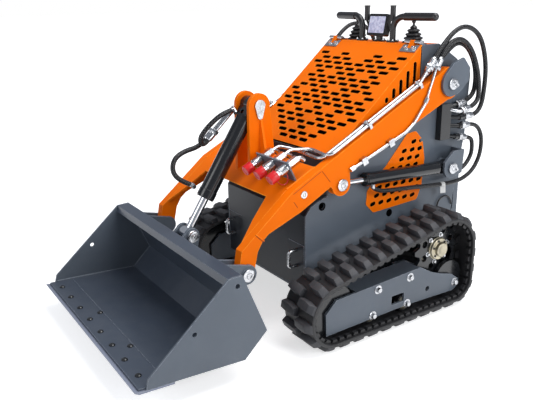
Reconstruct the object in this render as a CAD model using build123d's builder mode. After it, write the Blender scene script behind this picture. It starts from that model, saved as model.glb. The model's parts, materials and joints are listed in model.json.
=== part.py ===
from build123d import *
import os
from math import acos, atan2, cos, degrees, hypot, pi, radians, sin, tan

# Compact tracked skid steer loader, in millimetres.
# X is across the machine (+X its left side), -Y is the bucket end, Z is up and the ground is Z = 0.

# ---------------------------------------------------------------- driving dimensions
overall_length = 1800.0
rear_y = overall_length / 2
front_y = -overall_length / 2

plate = 8.0  # general weldment plate
thin_plate = 4.0  # covers and sheet panels
clear = 1.0  # running gap beside a pin joint
fit_gap = 0.3  # gap between a pin and its eye, or between seated curved faces

# body
body_half_width = 302.0
body_bottom = 150.0
box_top = 478.0  # top edge of the front box
box_front = -77.0
cowl_y = 48.0  # upright panel under the hood's lower edge
cowl_top = 700.0
console_front = 520.0
console_top = 1104.0
tail_y = 829.0

# lift arms
arm_gap = 15.0  # from the body side to the arm
arm_inner = body_half_width + arm_gap
arm_width = 40.0
arm_plate = 6.0
pivot_y, pivot_z = 634.5, 943.0
pivot_r = 67.0
pin_r = 19.0
knee_y, knee_z = -171.0, 615.0
lug_y, lug_z = 57.0, 599.0
bucket_pin_y, bucket_pin_z = -389.0, 338.0

# lift cylinders
lift_base_y, lift_base_z = 668.5, 574.0
lift_barrel_r = 27.0
lift_barrel_length = 480.0
lift_rod_r = 12.5
lift_eye_width = 22.0

# tilt cylinder
tilt_top_y, tilt_top_z = -123.0, 888.0
tilt_low_y, tilt_low_z = -443.0, 402.0
tilt_barrel_r = 35.0
tilt_barrel_length = 426.0
tilt_rod_r = 17.0
tilt_eye_width = 60.0
ear_inner = tilt_barrel_r + 5
ear_plate = 18.0

# bucket
bucket_half_width = 505.0
bucket_plate = 8.0
edge_plate = 16.0

# undercarriage
track_inner = body_half_width + 56
track_width = 180.0
track_pitch = 72.0
band = 14.0  # rubber band thickness
lug_height = 24.0
sprocket_y, sprocket_z, sprocket_r = 512.0, 262.0, 149.0
idler_y, idler_z, idler_r = -93.0, 150.0, 126.0
tail_y_roller, tail_z_roller, tail_r_roller = 564.0, 119.0, 95.0

# hood
hood_sheet = 4.0
hood_half_width = body_half_width
hood_top_y, hood_top_z = 518.0, 1104.0
hood_slope = 40.7
hood_length = 612.0

os.makedirs("parts", exist_ok=True)


def save(builder, label):
    """Label a finished part and write it to its own STEP file."""
    builder.part.label = label
    export_step(builder.part, f"parts/{label}.step")
    solid_count = len(builder.part.solids())
    print(label, "solids", solid_count, "volume", round(builder.part.volume))


def side_name(side):
    return "left" if side > 0 else "right"


def plane_at(x):
    """A plane across the machine at x, whose local x is +Y and whose local y is +Z."""
    return Plane(origin=(x, 0, 0), x_dir=(0, 1, 0), z_dir=(1, 0, 0))


def between(side, low, high):
    """The plane and thickness of a plate that runs from low to high on one side of the machine."""
    start = low if side > 0 else -high
    return plane_at(start), high - low


# ---------------------------------------------------------------- body side plates
side_outline = [
    (box_front, body_bottom),
    (box_front, box_top),
    (-52, 511),
    (-13, 528),
    (32, 544),
    (cowl_y, 672),
    (console_front, 893),
    (console_front, console_top),
    (619, console_top),
    (728, 1040),
    (780, 1002),
    (tail_y - 8, 998),
    (tail_y, 962),
    (819, 693),
    (772, 442),
    (758, 300),
    (700, body_bottom),
]
port_y, port_z, port_r = 5.0, 506.0, 11.0
side_windows = [
    [(438, 680), (500, 712), (540, 620), (532, 468), (438, 462)],
    [(416, 660), (416, 460), (300, 452), (262, 520), (345, 605)],
]


def side_plate(side):
    start, depth = between(side, body_half_width - plate, body_half_width)
    with BuildPart() as part:
        with BuildSketch(start) as profile:
            with BuildLine():
                Polyline(*side_outline, close=True)
            make_face()
            with Locations((port_y, port_z)):
                Circle(port_r, mode=Mode.SUBTRACT)
            for window in side_windows:
                with BuildLine():
                    FilletPolyline(*window, radius=14, close=True)
                make_face(mode=Mode.SUBTRACT)
        extrude(amount=depth)
    return part


for side in (1, -1):
    save(side_plate(side), f"side_plate_{side_name(side)}")

# ---------------------------------------------------------------- front box, floor and rear panel
inner_half = body_half_width - plate
with BuildPart() as front_box:
    with BuildSketch(plane_at(-inner_half)):
        with BuildLine():
            Polyline(
                (box_front, body_bottom + plate),
                (box_front, box_top),
                (-52, 511),
                (-13, 528),
                (32, 544),
                (cowl_y - 4, 640),
                (cowl_y - 4, cowl_top),
                (cowl_y, cowl_top),
                (cowl_y, 638),
                (38, 536),
                (-10, 520),
                (-47, 504),
                (box_front + plate, 474),
                (box_front + plate, body_bottom + plate),
                close=True,
            )
        make_face()
    extrude(amount=2 * inner_half)
save(front_box, "front_box")

with BuildPart() as floor_plate:
    with BuildSketch(plane_at(-inner_half)):
        with BuildLine():
            Polyline(
                (box_front, body_bottom),
                (700, body_bottom),
                (758, 300),
                (750, 300),
                (694, body_bottom + plate),
                (box_front, body_bottom + plate),
                close=True,
            )
        make_face()
    extrude(amount=2 * inner_half)
save(floor_plate, "floor_plate")

with BuildPart() as rear_panel:
    with BuildSketch(plane_at(-inner_half)):
        with BuildLine():
            Polyline(
                (758, 300),
                (772, 442),
                (819, 693),
                (tail_y, 962),
                (tail_y - 8, 962),
                (811, 694),
                (764, 443),
                (750, 300),
                close=True,
            )
        make_face()
    extrude(amount=2 * inner_half)
save(rear_panel, "rear_panel")

# ---------------------------------------------------------------- engine on its mounts
engine_size = (420.0, 380.0, 420.0)
with BuildPart() as engine:
    with BuildSketch(Plane.XY.offset(body_bottom + plate + 40)):
        with Locations((0, 420)):
            RectangleRounded(engine_size[0], engine_size[1], 20)
    extrude(amount=engine_size[2])
    with BuildSketch(Plane.XY.offset(body_bottom + plate)):
        with Locations((0, 420)):
            with GridLocations(300, 280, 2, 2):
                Circle(25)
    extrude(amount=40)
save(engine, "engine")

# ---------------------------------------------------------------- console
with BuildPart() as console:
    with BuildSketch(plane_at(-inner_half)):
        with BuildLine():
            Polyline(
                (console_front, 1000),
                (console_front, console_top),
                (619, console_top),
                (728, 1040),
                (780, 1002),
                (tail_y - 10, 998),
                (tail_y - 10, 964),
                (tail_y - 14, 964),
                (tail_y - 14, 994),
                (778, 998),
                (724, 1037),
                (617, console_top - 4),
                (console_front + 4, console_top - 4),
                (console_front + 4, 1000),
                close=True,
            )
        make_face()
    extrude(amount=2 * inner_half)
save(console, "console")

# ---------------------------------------------------------------- hood with slots
hood_plane = Plane(
    origin=(0, hood_top_y, hood_top_z),
    x_dir=(1, 0, 0),
    z_dir=(0, -sin(radians(hood_slope)), cos(radians(hood_slope))),
)
slot_length, slot_height = 59.0, 19.0
slot_pitch_x, slot_pitch_y = 72.0, 29.0
first_row = 84.0  # from the hood's upper edge
slot_rows = [
    # the slots of each row on one side of the middle, in half pitches; the other side mirrors them
    (3, 7),
    (2, 4, 6),
    (1, 3, 5, 7),
    (0, 2, 4, 6),
    (1, 5),
    (0, 2, 4, 6),
    (1, 3, 5),
    (2, 4, 6),
    (1, 3, 7),
    (0, 2, 4, 6),
    (1, 3, 5, 7),
    (0, 4, 6),
    (1, 3, 7),
    (2, 4, 6),
    (1, 3, 5),
    (0, 4),
    (1, 3),
    (0, 2),
]
cheek_slot_width = 19.0
cheek_slots = [
    # y, low z, high z
    (332, 882, 906),
    (370, 896, 940),
    (408, 905, 972),
    (446, 930, 1004),
    (484, 950, 1038),
]


def slope_point(distance, drop=0.0):
    """A point on the hood's section: distance down the slope, drop below the sheet's top face."""
    a = radians(hood_slope)
    y = hood_top_y - distance * cos(a) + drop * sin(a)
    z = hood_top_z - distance * sin(a) - drop * cos(a)
    return (y, z)


hinge_w = 90.0
hinge_x = hood_half_width - hood_sheet - 2 - hinge_w / 2
hinge_y, hinge_z = console_front - 1.0, console_top + 9.0
hinge_pin_r, knuckle_r, knuckle_w = 4.5, 8.0, 24.0
cheek_low_front = (slope_point(hood_length)[0] + 1, 678.0)
with BuildPart() as hood:
    with BuildSketch(plane_at(-hood_half_width)):
        with BuildLine():
            Polyline(
                slope_point(2),
                slope_point(hood_length),
                slope_point(hood_length, hood_sheet),
                slope_point(2, hood_sheet),
                close=True,
            )
        make_face()
    extrude(amount=2 * hood_half_width)
    for side in (1, -1):
        start, depth = between(side, hood_half_width - hood_sheet, hood_half_width)
        with BuildSketch(start):
            with BuildLine():
                Polyline(
                    slope_point(2, 1),
                    slope_point(hood_length, 1),
                    cheek_low_front,
                    (console_front - 6, 898),
                    (console_front - 6, hood_top_z - 6),
                    close=True,
                )
            make_face()
            for slot_y, low_z, high_z in cheek_slots:
                with Locations((slot_y, (low_z + high_z) / 2)):
                    SlotOverall(high_z - low_z, cheek_slot_width, rotation=90, mode=Mode.SUBTRACT)
        extrude(amount=depth)
    with BuildSketch(hood_plane.offset(1)):
        for row, columns in enumerate(slot_rows):
            for column in {c * side for c in columns for side in (1, -1)}:
                with Locations((column * slot_pitch_x / 2, -(first_row + row * slot_pitch_y))):
                    SlotOverall(slot_length, slot_height)
    extrude(amount=-hood_sheet - 2, mode=Mode.SUBTRACT)
    for side in (1, -1):
        start, depth = between(side, hinge_x - knuckle_w / 2, hinge_x + knuckle_w / 2)
        with BuildSketch(start):
            with Locations((hinge_y, hinge_z)):
                Circle(knuckle_r)
            with BuildLine():
                Polyline(
                    (hinge_y - 5, hinge_z + 6),
                    slope_point(26, -4),
                    slope_point(26, 1),
                    slope_point(3, 1),
                    (hinge_y, hinge_z - 7),
                    close=True,
                )
            make_face()
            with Locations((hinge_y, hinge_z)):
                Circle(hinge_pin_r + fit_gap, mode=Mode.SUBTRACT)
        extrude(amount=depth)
save(hood, "hood")

# ---------------------------------------------------------------- towers that carry the arms and lift cylinders
ear_gap = 3.0  # from the arm's outer face to the ear
ear_x = arm_inner + arm_width + ear_gap  # inner face of the outer ears
ear_t = 12.0
web_t = 8.0
upper_ear = [(pivot_y - 44, pivot_z + 34), (638, 1026), (700, 1046), (742, 1000), (736, 948), (688, 904)]
lower_ear = [(lift_base_y - 44, lift_base_z + 30), (676, 648), (743, 648), (735, 545), (690, 532)]


def tower(side):
    """Upper and lower ears on rear webs, with bosses on the body side for the arm and the cylinder."""
    outer, outer_depth = between(side, ear_x, ear_x + ear_t)
    web, web_depth = between(side, body_half_width, ear_x)
    boss, boss_depth = between(side, body_half_width, arm_inner - clear)
    with BuildPart() as part:
        for corners, centre, ear_r in (
            (upper_ear, (pivot_y, pivot_z), 54),
            (lower_ear, (lift_base_y, lift_base_z), 46),
        ):
            with BuildSketch(outer):
                with BuildLine():
                    Polyline(*corners, close=True)
                make_face()
                with Locations(centre):
                    Circle(ear_r)
                make_hull()
                with Locations(centre):
                    Circle(pin_r + fit_gap, mode=Mode.SUBTRACT)
            extrude(amount=outer_depth)
            rear_top, rear_low = corners[-3], corners[-2]
            with BuildSketch(web):
                with BuildLine():
                    Polyline(
                        rear_top,
                        rear_low,
                        (rear_low[0] - web_t, rear_low[1]),
                        (rear_top[0] - web_t, rear_top[1]),
                        close=True,
                    )
                make_face()
            extrude(amount=web_depth)
        with BuildSketch(boss):
            with Locations((pivot_y, pivot_z)):
                Circle(46)
            with Locations((lift_base_y, lift_base_z)):
                Circle(34)
        extrude(amount=boss_depth)
    return part


for side in (1, -1):
    save(tower(side), f"tower_{side_name(side)}")

# ---------------------------------------------------------------- side screens
screen_t = 3.0
screen_outline = [
    (505, 748),
    (548, 706),
    (566, 620),
    (556, 500),
    (530, 440),
    (276, 428),
    (234, 470),
    (240, 530),
    (340, 620),
    (455, 742),
]


with BuildPart() as side_screens:
    for side in (1, -1):
        start, depth = between(side, body_half_width, body_half_width + screen_t)
        with BuildSketch(start):
            with BuildLine():
                FilletPolyline(*screen_outline, radius=16, close=True)
            make_face()
            for row in range(8):
                z = 466 + row * 34
                left = 272 + max(0, (row - 1)) * 34
                count = int((536 - left) // 46) + 1
                for k in range(count):
                    with Locations((left + (row % 2) * 20 + k * 46, z)):
                        SlotOverall(30, 17, rotation=14, mode=Mode.SUBTRACT)
        extrude(amount=depth)
save(side_screens, "side_screens")

# ---------------------------------------------------------------- console fittings
post_x, post_y = 98.0, 548.0  # foot of each grab bar
bar_r, grip_r = 13.5, 17.0
bar_z = console_top + 108  # height of the grips
bar_end = (303.0, 582.0)  # (x, y) where each grip ends
with BuildPart() as grab_bars:
    for side in (1, -1):
        with BuildLine():
            path = FilletPolyline(
                (side * post_x, post_y, console_top + 2),
                (side * post_x, post_y, bar_z),
                (side * bar_end[0], bar_end[1], bar_z),
                radius=56,
            )
        with BuildSketch(Plane(origin=path @ 0, z_dir=path % 0)):
            Circle(bar_r)
        sweep(path=path)
        with BuildSketch(Plane(origin=path @ 1, z_dir=path % 1)):
            Circle(grip_r)
        extrude(amount=-148)
        with BuildSketch(Plane.XY.offset(console_top)):
            with Locations((side * post_x, post_y)):
                RectangleRounded(48, 42, 12)
        extrude(amount=7)
save(grab_bars, "grab_bars")

lever_x, lever_y = 83.0, 560.0
lever_foot = (64.0, 590.0)  # (x, y) where the lever's stem leaves the console
lever_grip_r, lever_stem_r = 12.0, 5.0
lever_grip_z, lever_top = 1192.0, 1258.0
stick_x, stick_y = 180.0, 590.0
bellows_rings = [46.0, 41.0, 34.0, 27.0]  # outer radii from the foot up
bellows_pitch = 16.0
stick_top = 112.0  # above the console
with BuildPart() as control_levers:
    for side in (1, -1):
        foot = Vector(side * lever_foot[0], lever_foot[1], console_top + 3)
        grip = Vector(side * lever_x, lever_y, lever_grip_z)
        with BuildSketch(Plane(origin=foot, z_dir=grip - foot)):
            Circle(lever_stem_r)
        extrude(amount=(grip - foot).length + 2)
        with BuildSketch(Plane.XY.offset(console_top)):
            with Locations((foot.X, foot.Y)):
                Circle(11)
        extrude(amount=6)
        with BuildSketch(Plane.XY.offset(lever_grip_z)):
            with Locations((side * lever_x, lever_y)):
                Circle(lever_grip_r)
        extrude(amount=lever_top - lever_grip_z)
        with BuildSketch(Plane(origin=(side * stick_x, stick_y, console_top), x_dir=(1, 0, 0), z_dir=(0, -1, 0))):
            with BuildLine():
                points = [(0, 0)]
                for k, ring_r in enumerate(bellows_rings):
                    low = k * bellows_pitch
                    points += [(ring_r, low), (ring_r, low + 5), (ring_r - 13, low + bellows_pitch / 2 + 3)]
                neck = len(bellows_rings) * bellows_pitch
                points += [(16, neck), (5, neck + 9), (5, neck + 16), (9, neck + 22), (9, stick_top), (0, stick_top)]
                Polyline(*points, close=True)
            make_face()
        revolve(axis=Axis((side * stick_x, stick_y, 0), (0, 0, 1)))
save(control_levers, "control_levers")

display_size = (120.0, 96.0, 26.0)
display_tilt = radians(11)
display_plane = Plane(
    origin=(0, 545, console_top + 72),
    x_dir=(1, 0, 0),
    z_dir=(0, -cos(display_tilt), sin(display_tilt)),
)
with BuildPart() as display:
    with BuildSketch(display_plane):
        RectangleRounded(display_size[0], display_size[1], 9)
    extrude(amount=-display_size[2])
    with BuildSketch(Plane.XY.offset(console_top)):
        with Locations((0, 566)):
            Rectangle(64, 34)
    extrude(amount=5)
    with BuildSketch(Plane.XY.offset(console_top)):
        with Locations((0, 562)):
            Rectangle(30, 14)
    extrude(amount=34)
save(display, "display")

with BuildPart() as hood_hinges:
    for side in (1, -1):
        with BuildSketch(Plane.XY.offset(console_top)):
            with Locations((side * hinge_x, console_front + 18)):
                Rectangle(hinge_w, 24)
                with GridLocations(40, 1, 2, 1):
                    Circle(5, mode=Mode.SUBTRACT)
        extrude(amount=4)
        for low in (hinge_x - hinge_w / 2, hinge_x + knuckle_w / 2 + clear):
            start, depth = between(side, low, low + hinge_w / 2 - knuckle_w / 2 - clear)
            with BuildSketch(start):
                with Locations((hinge_y, hinge_z)):
                    Circle(knuckle_r)
                with BuildLine():
                    Polyline(
                        (hinge_y, hinge_z + knuckle_r),
                        (console_front + 20, console_top + 3),
                        (console_front + 20, console_top),
                        (hinge_y + 4, console_top),
                        close=True,
                    )
                make_face()
            extrude(amount=depth)
        start, depth = between(side, hinge_x - hinge_w / 2, hinge_x + hinge_w / 2)
        with BuildSketch(start):
            with Locations((hinge_y, hinge_z)):
                Circle(hinge_pin_r)
        extrude(amount=depth)
save(hood_hinges, "hood_hinges")

# ---------------------------------------------------------------- valve manifolds on the body sides
hose_r = 10.0  # arm and tilt hoses
lift_hose_r = 9.0
ferrule_r = 13.0
stub_r = 9.0
stub_length = 34.0
block_y, block_z = 658.0, 772.0
block_length, block_height, block_depth = 60.0, 156.0, 30.0
block_rear = block_y + block_length / 2
hose_x = arm_inner + 28.0  # plane of the outer hoses
ports = {
    # name: height on the block's rear face, (y, z) of the ferrule's end, inward shift from hose_x
    "arm_inner": (832.0, (768.0, 850.0), 20.0),
    "arm_outer": (788.0, (800.0, 790.0), 0.0),
    "lift_gland": (752.0, (782.0, 750.0), 0.0),
    "lift_base": (706.0, (790.0, 690.0), 18.0),
}


def ferrule_knee(name, side):
    """Where a port's stub meets its ferrule, and the ferrule's end."""
    height, (end_y, end_z), shift = ports[name]
    x = side * (hose_x - shift)
    rise = (end_z - height) / (end_y - block_rear)
    return Vector(x, block_rear + stub_length, height + stub_length * rise), Vector(x, end_y, end_z)


with BuildPart() as valve_blocks:
    for side in (1, -1):
        start, depth = between(side, body_half_width, body_half_width + block_depth)
        with BuildSketch(start):
            with Locations((block_y, block_z)):
                Rectangle(block_length, block_height)
        extrude(amount=depth)
        for name, (height, end, shift) in ports.items():
            knee, tip = ferrule_knee(name, side)
            base = Vector(side * (body_half_width + block_depth / 2), block_rear - 4, height)
            with BuildSketch(Plane(origin=base, z_dir=knee - base)):
                Circle(stub_r)
            extrude(amount=(knee - base).length + 3)
            with BuildSketch(Plane(origin=knee, z_dir=tip - knee)):
                Circle(ferrule_r)
            extrude(amount=(tip - knee).length)
save(valve_blocks, "valve_blocks")

# ---------------------------------------------------------------- tie-down loops on the front box
loop_x, loop_z = 246.0, 290.0
with BuildPart() as tie_downs:
    for side in (1, -1):
        with BuildLine():
            path = FilletPolyline(
                (side * loop_x, box_front, loop_z - 34),
                (side * loop_x, box_front - 42, loop_z - 34),
                (side * loop_x, box_front - 42, loop_z + 34),
                (side * loop_x, box_front, loop_z + 34),
                radius=14,
            )
        with BuildSketch(Plane(origin=path @ 0, z_dir=path % 0)):
            Circle(7)
        sweep(path=path)
save(tie_downs, "tie_downs")

# ---------------------------------------------------------------- undercarriage
wheels = [
    (idler_y, idler_z, idler_r),
    (tail_y_roller, tail_z_roller, tail_r_roller),
    (sprocket_y, sprocket_z, sprocket_r),
]


def tangent_loop(shrink):
    """Arcs and outside tangents round the three track wheels, taken anticlockwise seen from +X."""
    circles = [(y, z, r - shrink) for y, z, r in wheels]
    touches = []
    for (y0, z0, r0), (y1, z1, r1) in zip(circles, circles[1:] + circles[:1]):
        gap = hypot(y1 - y0, z1 - z0)
        heading = atan2(z1 - z0, y1 - y0)
        normal = heading - acos((r0 - r1) / gap)
        touches.append(
            (
                (y0 + r0 * cos(normal), z0 + r0 * sin(normal)),
                (y1 + r1 * cos(normal), z1 + r1 * sin(normal)),
            )
        )
    return circles, touches


def loop_length(shrink):
    circles, touches = tangent_loop(shrink)
    total = 0.0
    for k, (leave, arrive) in enumerate(touches):
        total += hypot(arrive[0] - leave[0], arrive[1] - leave[1])
        y, z, r = circles[k]
        arrived = touches[k - 1][1]
        turn = (atan2(leave[1] - z, leave[0] - y) - atan2(arrived[1] - z, arrived[0] - y)) % radians(360)
        total += r * turn
    return total


def loop_point(shrink, distance):
    """Place and heading on the loop at a distance from the first wheel's bottom tangent."""
    circles, touches = tangent_loop(shrink)
    left = distance
    for k, (leave, arrive) in enumerate(touches):
        run = hypot(arrive[0] - leave[0], arrive[1] - leave[1])
        heading = atan2(arrive[1] - leave[1], arrive[0] - leave[0])
        if left <= run:
            t = left / run
            return (leave[0] + t * (arrive[0] - leave[0]), leave[1] + t * (arrive[1] - leave[1])), heading
        left -= run
        y, z, r = circles[(k + 1) % 3]
        after = touches[(k + 1) % 3][0]
        start = atan2(arrive[1] - z, arrive[0] - y)
        turn = (atan2(after[1] - z, after[0] - y) - start) % radians(360)
        if left <= r * turn:
            a = start + left / r
            return (y + r * cos(a), z + r * sin(a)), a + radians(90)
        left -= r * turn
    return touches[0][0], 0.0


def loop_sketch(shrink):
    """The area inside the loop, bounded by lines and arcs, as a flat sketch."""
    circles, touches = tangent_loop(shrink)
    with BuildSketch() as area:
        with BuildLine():
            for k, (leave, arrive) in enumerate(touches):
                Line(leave, arrive)
                y, z, r = circles[(k + 1) % 3]
                after = touches[(k + 1) % 3][0]
                start = atan2(arrive[1] - z, arrive[0] - y)
                turn = (atan2(after[1] - z, after[0] - y) - start) % radians(360)
                middle = start + turn / 2
                ThreePointArc(arrive, (y + r * cos(middle), z + r * sin(middle)), after)
        make_face()
    return area.sketch


pitch_line = loop_length(band / 2)
link_count = round(pitch_line / track_pitch)
print("track links", link_count, "pitch", round(pitch_line / link_count, 2))


def track(side):
    start, depth = between(side, track_inner, track_inner + track_width)
    with BuildPart() as part:
        with BuildSketch(start):
            add(loop_sketch(0))
            add(loop_sketch(band), mode=Mode.SUBTRACT)
        extrude(amount=depth)
        outline = loop_length(0)
        for row, (low, high) in enumerate(((4.0, 84.0), (96.0, 176.0))):
            row_start, row_depth = between(side, track_inner + low, track_inner + high)
            with BuildSketch(row_start):
                for k in range(link_count):
                    (y, z), heading = loop_point(2, (k + row / 2) * loop_length(2) / link_count)
                    with Locations(Location((y, z, 0), (0, 0, degrees(heading) + 180))):
                        Trapezoid(40, lug_height + 2, 76, align=(Align.CENTER, Align.MIN))
            extrude(amount=row_depth)
    return part


for side in (1, -1):
    save(track(side), f"track_{side_name(side)}")

# ---------------------------------------------------------------- track frames, rollers and sprockets
frame_inner = track_inner + 44.0
frame_outer = track_inner + track_width - 42.0
frame_plate = 10.0
frame_outline = [
    (-121, 58),
    (-124, 148),
    (-74, 196),
    (375, 220),
    (412, 199),
    (449, 178),
    (500, 159),
    (570, 140),
    (612, 110),
    (616, 84),
    (580, 62),
    (300, 70),
]


frame_hole = (422.0, 111.0)
frame_window = (250.0, 112.0)


def frame_top(y):
    """Height of the track frame's long top edge at y."""
    (y0, z0), (y1, z1) = frame_outline[2:4]
    return z0 + (y - y0) * (z1 - z0) / (y1 - y0)


def track_frame(side):
    """Two outlined plates tied by spacers, with a beam into the body."""
    with BuildPart() as part:
        for low in (frame_inner, frame_outer - frame_plate):
            start, depth = between(side, low, low + frame_plate)
            with BuildSketch(start):
                with BuildLine():
                    Polyline(*frame_outline, close=True)
                make_face()
                with Locations(frame_hole):
                    Circle(12, mode=Mode.SUBTRACT)
                with Locations(frame_window):
                    RectangleRounded(70, 40, 4, mode=Mode.SUBTRACT)
            extrude(amount=depth)
        start, depth = between(side, frame_inner + frame_plate, frame_outer - frame_plate)
        with BuildSketch(start):
            for y, z in ((200, 150), (340, 156), (80, 150)):
                with Locations((y, z)):
                    Rectangle(60, 36)
            with BuildLine():
                Polyline(
                    (30, frame_top(30)),
                    (370, frame_top(370)),
                    (370, frame_top(370) - plate),
                    (30, frame_top(30) - plate),
                    close=True,
                )
            make_face()
        extrude(amount=depth)
        start, depth = between(side, body_half_width, frame_inner)
        with BuildSketch(start):
            for y in (140, 400):
                with Locations((y, 172)):
                    Rectangle(70, 34)
        extrude(amount=depth)
    return part


roller_r = 40.0
ground_line = lug_height + band + fit_gap
roller_places = [(113.0, ground_line + roller_r), (302.0, ground_line + roller_r)]
axle_r = 13.0
flange_t = 20.0  # each roller is two flanges on one axle, clear of the sprocket's disc


def rollers(side):
    """The front idler, the tail roller and the bottom rollers."""
    wheel_list = [
        (idler_y, idler_z, idler_r - band - fit_gap),
        (tail_y_roller, tail_z_roller, tail_r_roller - band - fit_gap),
    ]
    wheel_list += [(y, z, roller_r) for y, z in roller_places]
    low, high = frame_inner + frame_plate, frame_outer - frame_plate
    with BuildPart() as part:
        for y, z, r in wheel_list:
            start, depth = between(side, low, high)
            with BuildSketch(start):
                with Locations((y, z)):
                    Circle(axle_r)
            extrude(amount=depth)
            for a, b in ((low + 3, low + 3 + flange_t), (high - 3 - flange_t, high - 3)):
                start, depth = between(side, a, b)
                with BuildSketch(start):
                    with Locations((y, z)):
                        Circle(r)
                extrude(amount=depth)
    return part


sprocket_x = track_inner + 82.0  # inner face of the sprocket disc
sprocket_t = 16.0
tooth_count = 12


def sprocket(side):
    """Toothed disc and hub on the drive motor, which bolts to the body side."""
    tip = sprocket_r - band - 2
    with BuildPart() as part:
        start, depth = between(side, sprocket_x, sprocket_x + sprocket_t)
        with BuildSketch(start):
            with Locations((sprocket_y, sprocket_z)):
                Circle(tip - 26)
                with PolarLocations(tip - 30, tooth_count):
                    with Locations(Location((0, 0, 0), (0, 0, -90))):
                        Trapezoid(44, 30, 66, align=(Align.CENTER, Align.MIN))
                with PolarLocations(82, 8, start_angle=22.5):
                    Circle(15, mode=Mode.SUBTRACT)
        extrude(amount=depth)
        for low, high, r in (
            (body_half_width, body_half_width + 14, 92),
            (body_half_width + 14, sprocket_x - 3.5, 62),
            (sprocket_x - 3.5, sprocket_x, 76),
            (sprocket_x + sprocket_t, sprocket_x + sprocket_t + 14, 46),
            (sprocket_x + sprocket_t + 14, sprocket_x + sprocket_t + 30, 30),
        ):
            start, depth = between(side, low, high)
            with BuildSketch(start):
                with Locations((sprocket_y, sprocket_z)):
                    Circle(r)
            extrude(amount=depth)
    return part


for side in (1, -1):
    save(track_frame(side), f"track_frame_{side_name(side)}")
    save(rollers(side), f"rollers_{side_name(side)}")
    save(sprocket(side), f"sprocket_{side_name(side)}")

# ---------------------------------------------------------------- lift arms
low_end_r = 34.0
lug_r = 45.0


def arm(side):
    """Hollow box arm: two outlined side plates closed by strips, open below at the cylinder's lug."""
    with BuildSketch() as outline:
        with BuildLine():
            Polyline(
                (-403, 426),
                (knee_y, knee_z),
                (602, 1001),
                (632, 876),
                (98, 644),
                (lug_y + 44, lug_z - 8),
                (lug_y + 20, lug_z - 40),
                (lug_y - 20, lug_z - 40),
                (4, 600),
                (-139, 526),
                (-285, 470),
                (-312, 448),
                (-335, 410),
                (-351, 340),
                (-419, 340),
                close=True,
            )
        make_face()
        with Locations((pivot_y, pivot_z)):
            Circle(pivot_r)
        with Locations((bucket_pin_y, bucket_pin_z)):
            Circle(low_end_r)
        with Locations((lug_y, lug_z)):
            Circle(lug_r)
    with BuildPart() as part:
        start, depth = between(side, arm_inner, arm_inner + arm_width)
        with BuildSketch(start):
            add(outline.sketch)
        extrude(amount=depth)
        start, depth = between(side, arm_inner + arm_plate, arm_inner + arm_width - arm_plate)
        with BuildSketch(start):
            add(outline.sketch)
            offset(amount=-arm_plate)
            with Locations((lug_y, lug_z)):
                Circle(lug_r + 15)
            with Locations((pivot_y, pivot_z)):
                Circle(pivot_r, mode=Mode.SUBTRACT)
            with Locations((bucket_pin_y, bucket_pin_z)):
                Circle(low_end_r + 10, mode=Mode.SUBTRACT)
        extrude(amount=depth, mode=Mode.SUBTRACT)
        start, depth = between(side, arm_inner, arm_inner + arm_width)
        with BuildSketch(start):
            with Locations((pivot_y, pivot_z), (bucket_pin_y, bucket_pin_z)):
                Circle(pin_r + fit_gap)
        extrude(amount=depth, mode=Mode.SUBTRACT)
    return part


for side in (1, -1):
    save(arm(side), f"arm_{side_name(side)}")

# ---------------------------------------------------------------- cross-member between the arms
beam_wall = 8.0
shin = (-403.0, 426.0)  # (y, z) of the arm's foremost corner, where its front face starts
shin_slope = atan2(knee_z - shin[1], knee_y - shin[0])
flare_plane = Plane(
    origin=(0, *shin), x_dir=(1, 0, 0), z_dir=(0, -sin(shin_slope), cos(shin_slope))
)


def flare_run(y):
    """Distance up the arm's front face to y."""
    return (y - shin[0]) / cos(shin_slope)


beam_outline = [(-220, 574), (-176, 612.5), (-45, 678), (-31, 652), (-150, 590)]
with BuildPart() as cross_member:
    with BuildSketch(plane_at(-arm_inner)):
        with BuildLine():
            Polyline(*beam_outline, close=True)
        make_face()
        offset(amount=-beam_wall, mode=Mode.SUBTRACT)
    extrude(amount=2 * arm_inner)
    for side in (1, -1):
        with BuildSketch(flare_plane):
            with BuildLine():
                Polyline(
                    (side * arm_inner, flare_run(-380)),
                    (side * (arm_inner - 42), flare_run(-301)),
                    (side * (arm_inner - 74), flare_run(-220)),
                    (side * (arm_inner - 74), flare_run(-205)),
                    (side * arm_inner, flare_run(-205)),
                    close=True,
                )
            make_face()
        extrude(amount=-plate)
save(cross_member, "cross_member")


def beam_top(y):
    """Height of the cross-member's top plate at y."""
    return 612.5 + (y + 176) * (678 - 612.5) / (176 - 45)


gusset_y, gusset_t = -114.0, 10.0
with BuildPart() as cylinder_ears:
    for side in (1, -1):
        start, depth = between(side, ear_inner, ear_inner + ear_plate)
        with BuildSketch(start):
            with BuildLine():
                Polyline(
                    (tilt_top_y - 50, tilt_top_z),
                    (-174, beam_top(-174)),
                    (-52, beam_top(-52)),
                    (tilt_top_y + 50, tilt_top_z),
                    close=True,
                )
            make_face()
            with Locations((tilt_top_y, tilt_top_z)):
                Circle(50)
                Circle(pin_r + fit_gap, mode=Mode.SUBTRACT)
        extrude(amount=depth)
        gusset = Plane(origin=(0, gusset_y, 0), x_dir=(1, 0, 0), z_dir=(0, -1, 0))
        with BuildSketch(gusset):
            with BuildLine():
                x = side * (ear_inner + ear_plate)
                Polyline(
                    (x, 600),
                    (x, 830),
                    (x + side * 8, 830),
                    (x + side * 38, 700),
                    (x + side * 52, 600),
                    close=True,
                )
            make_face()
        extrude(amount=gusset_t)
    with BuildSketch(plane_at(-arm_inner)):
        with BuildLine():
            Polyline((-260, beam_top(-260)), (20, beam_top(20)), (20, 500), (-260, 500), close=True)
        make_face()
    extrude(amount=2 * arm_inner, mode=Mode.SUBTRACT)
save(cylinder_ears, "cylinder_ears")

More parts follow.
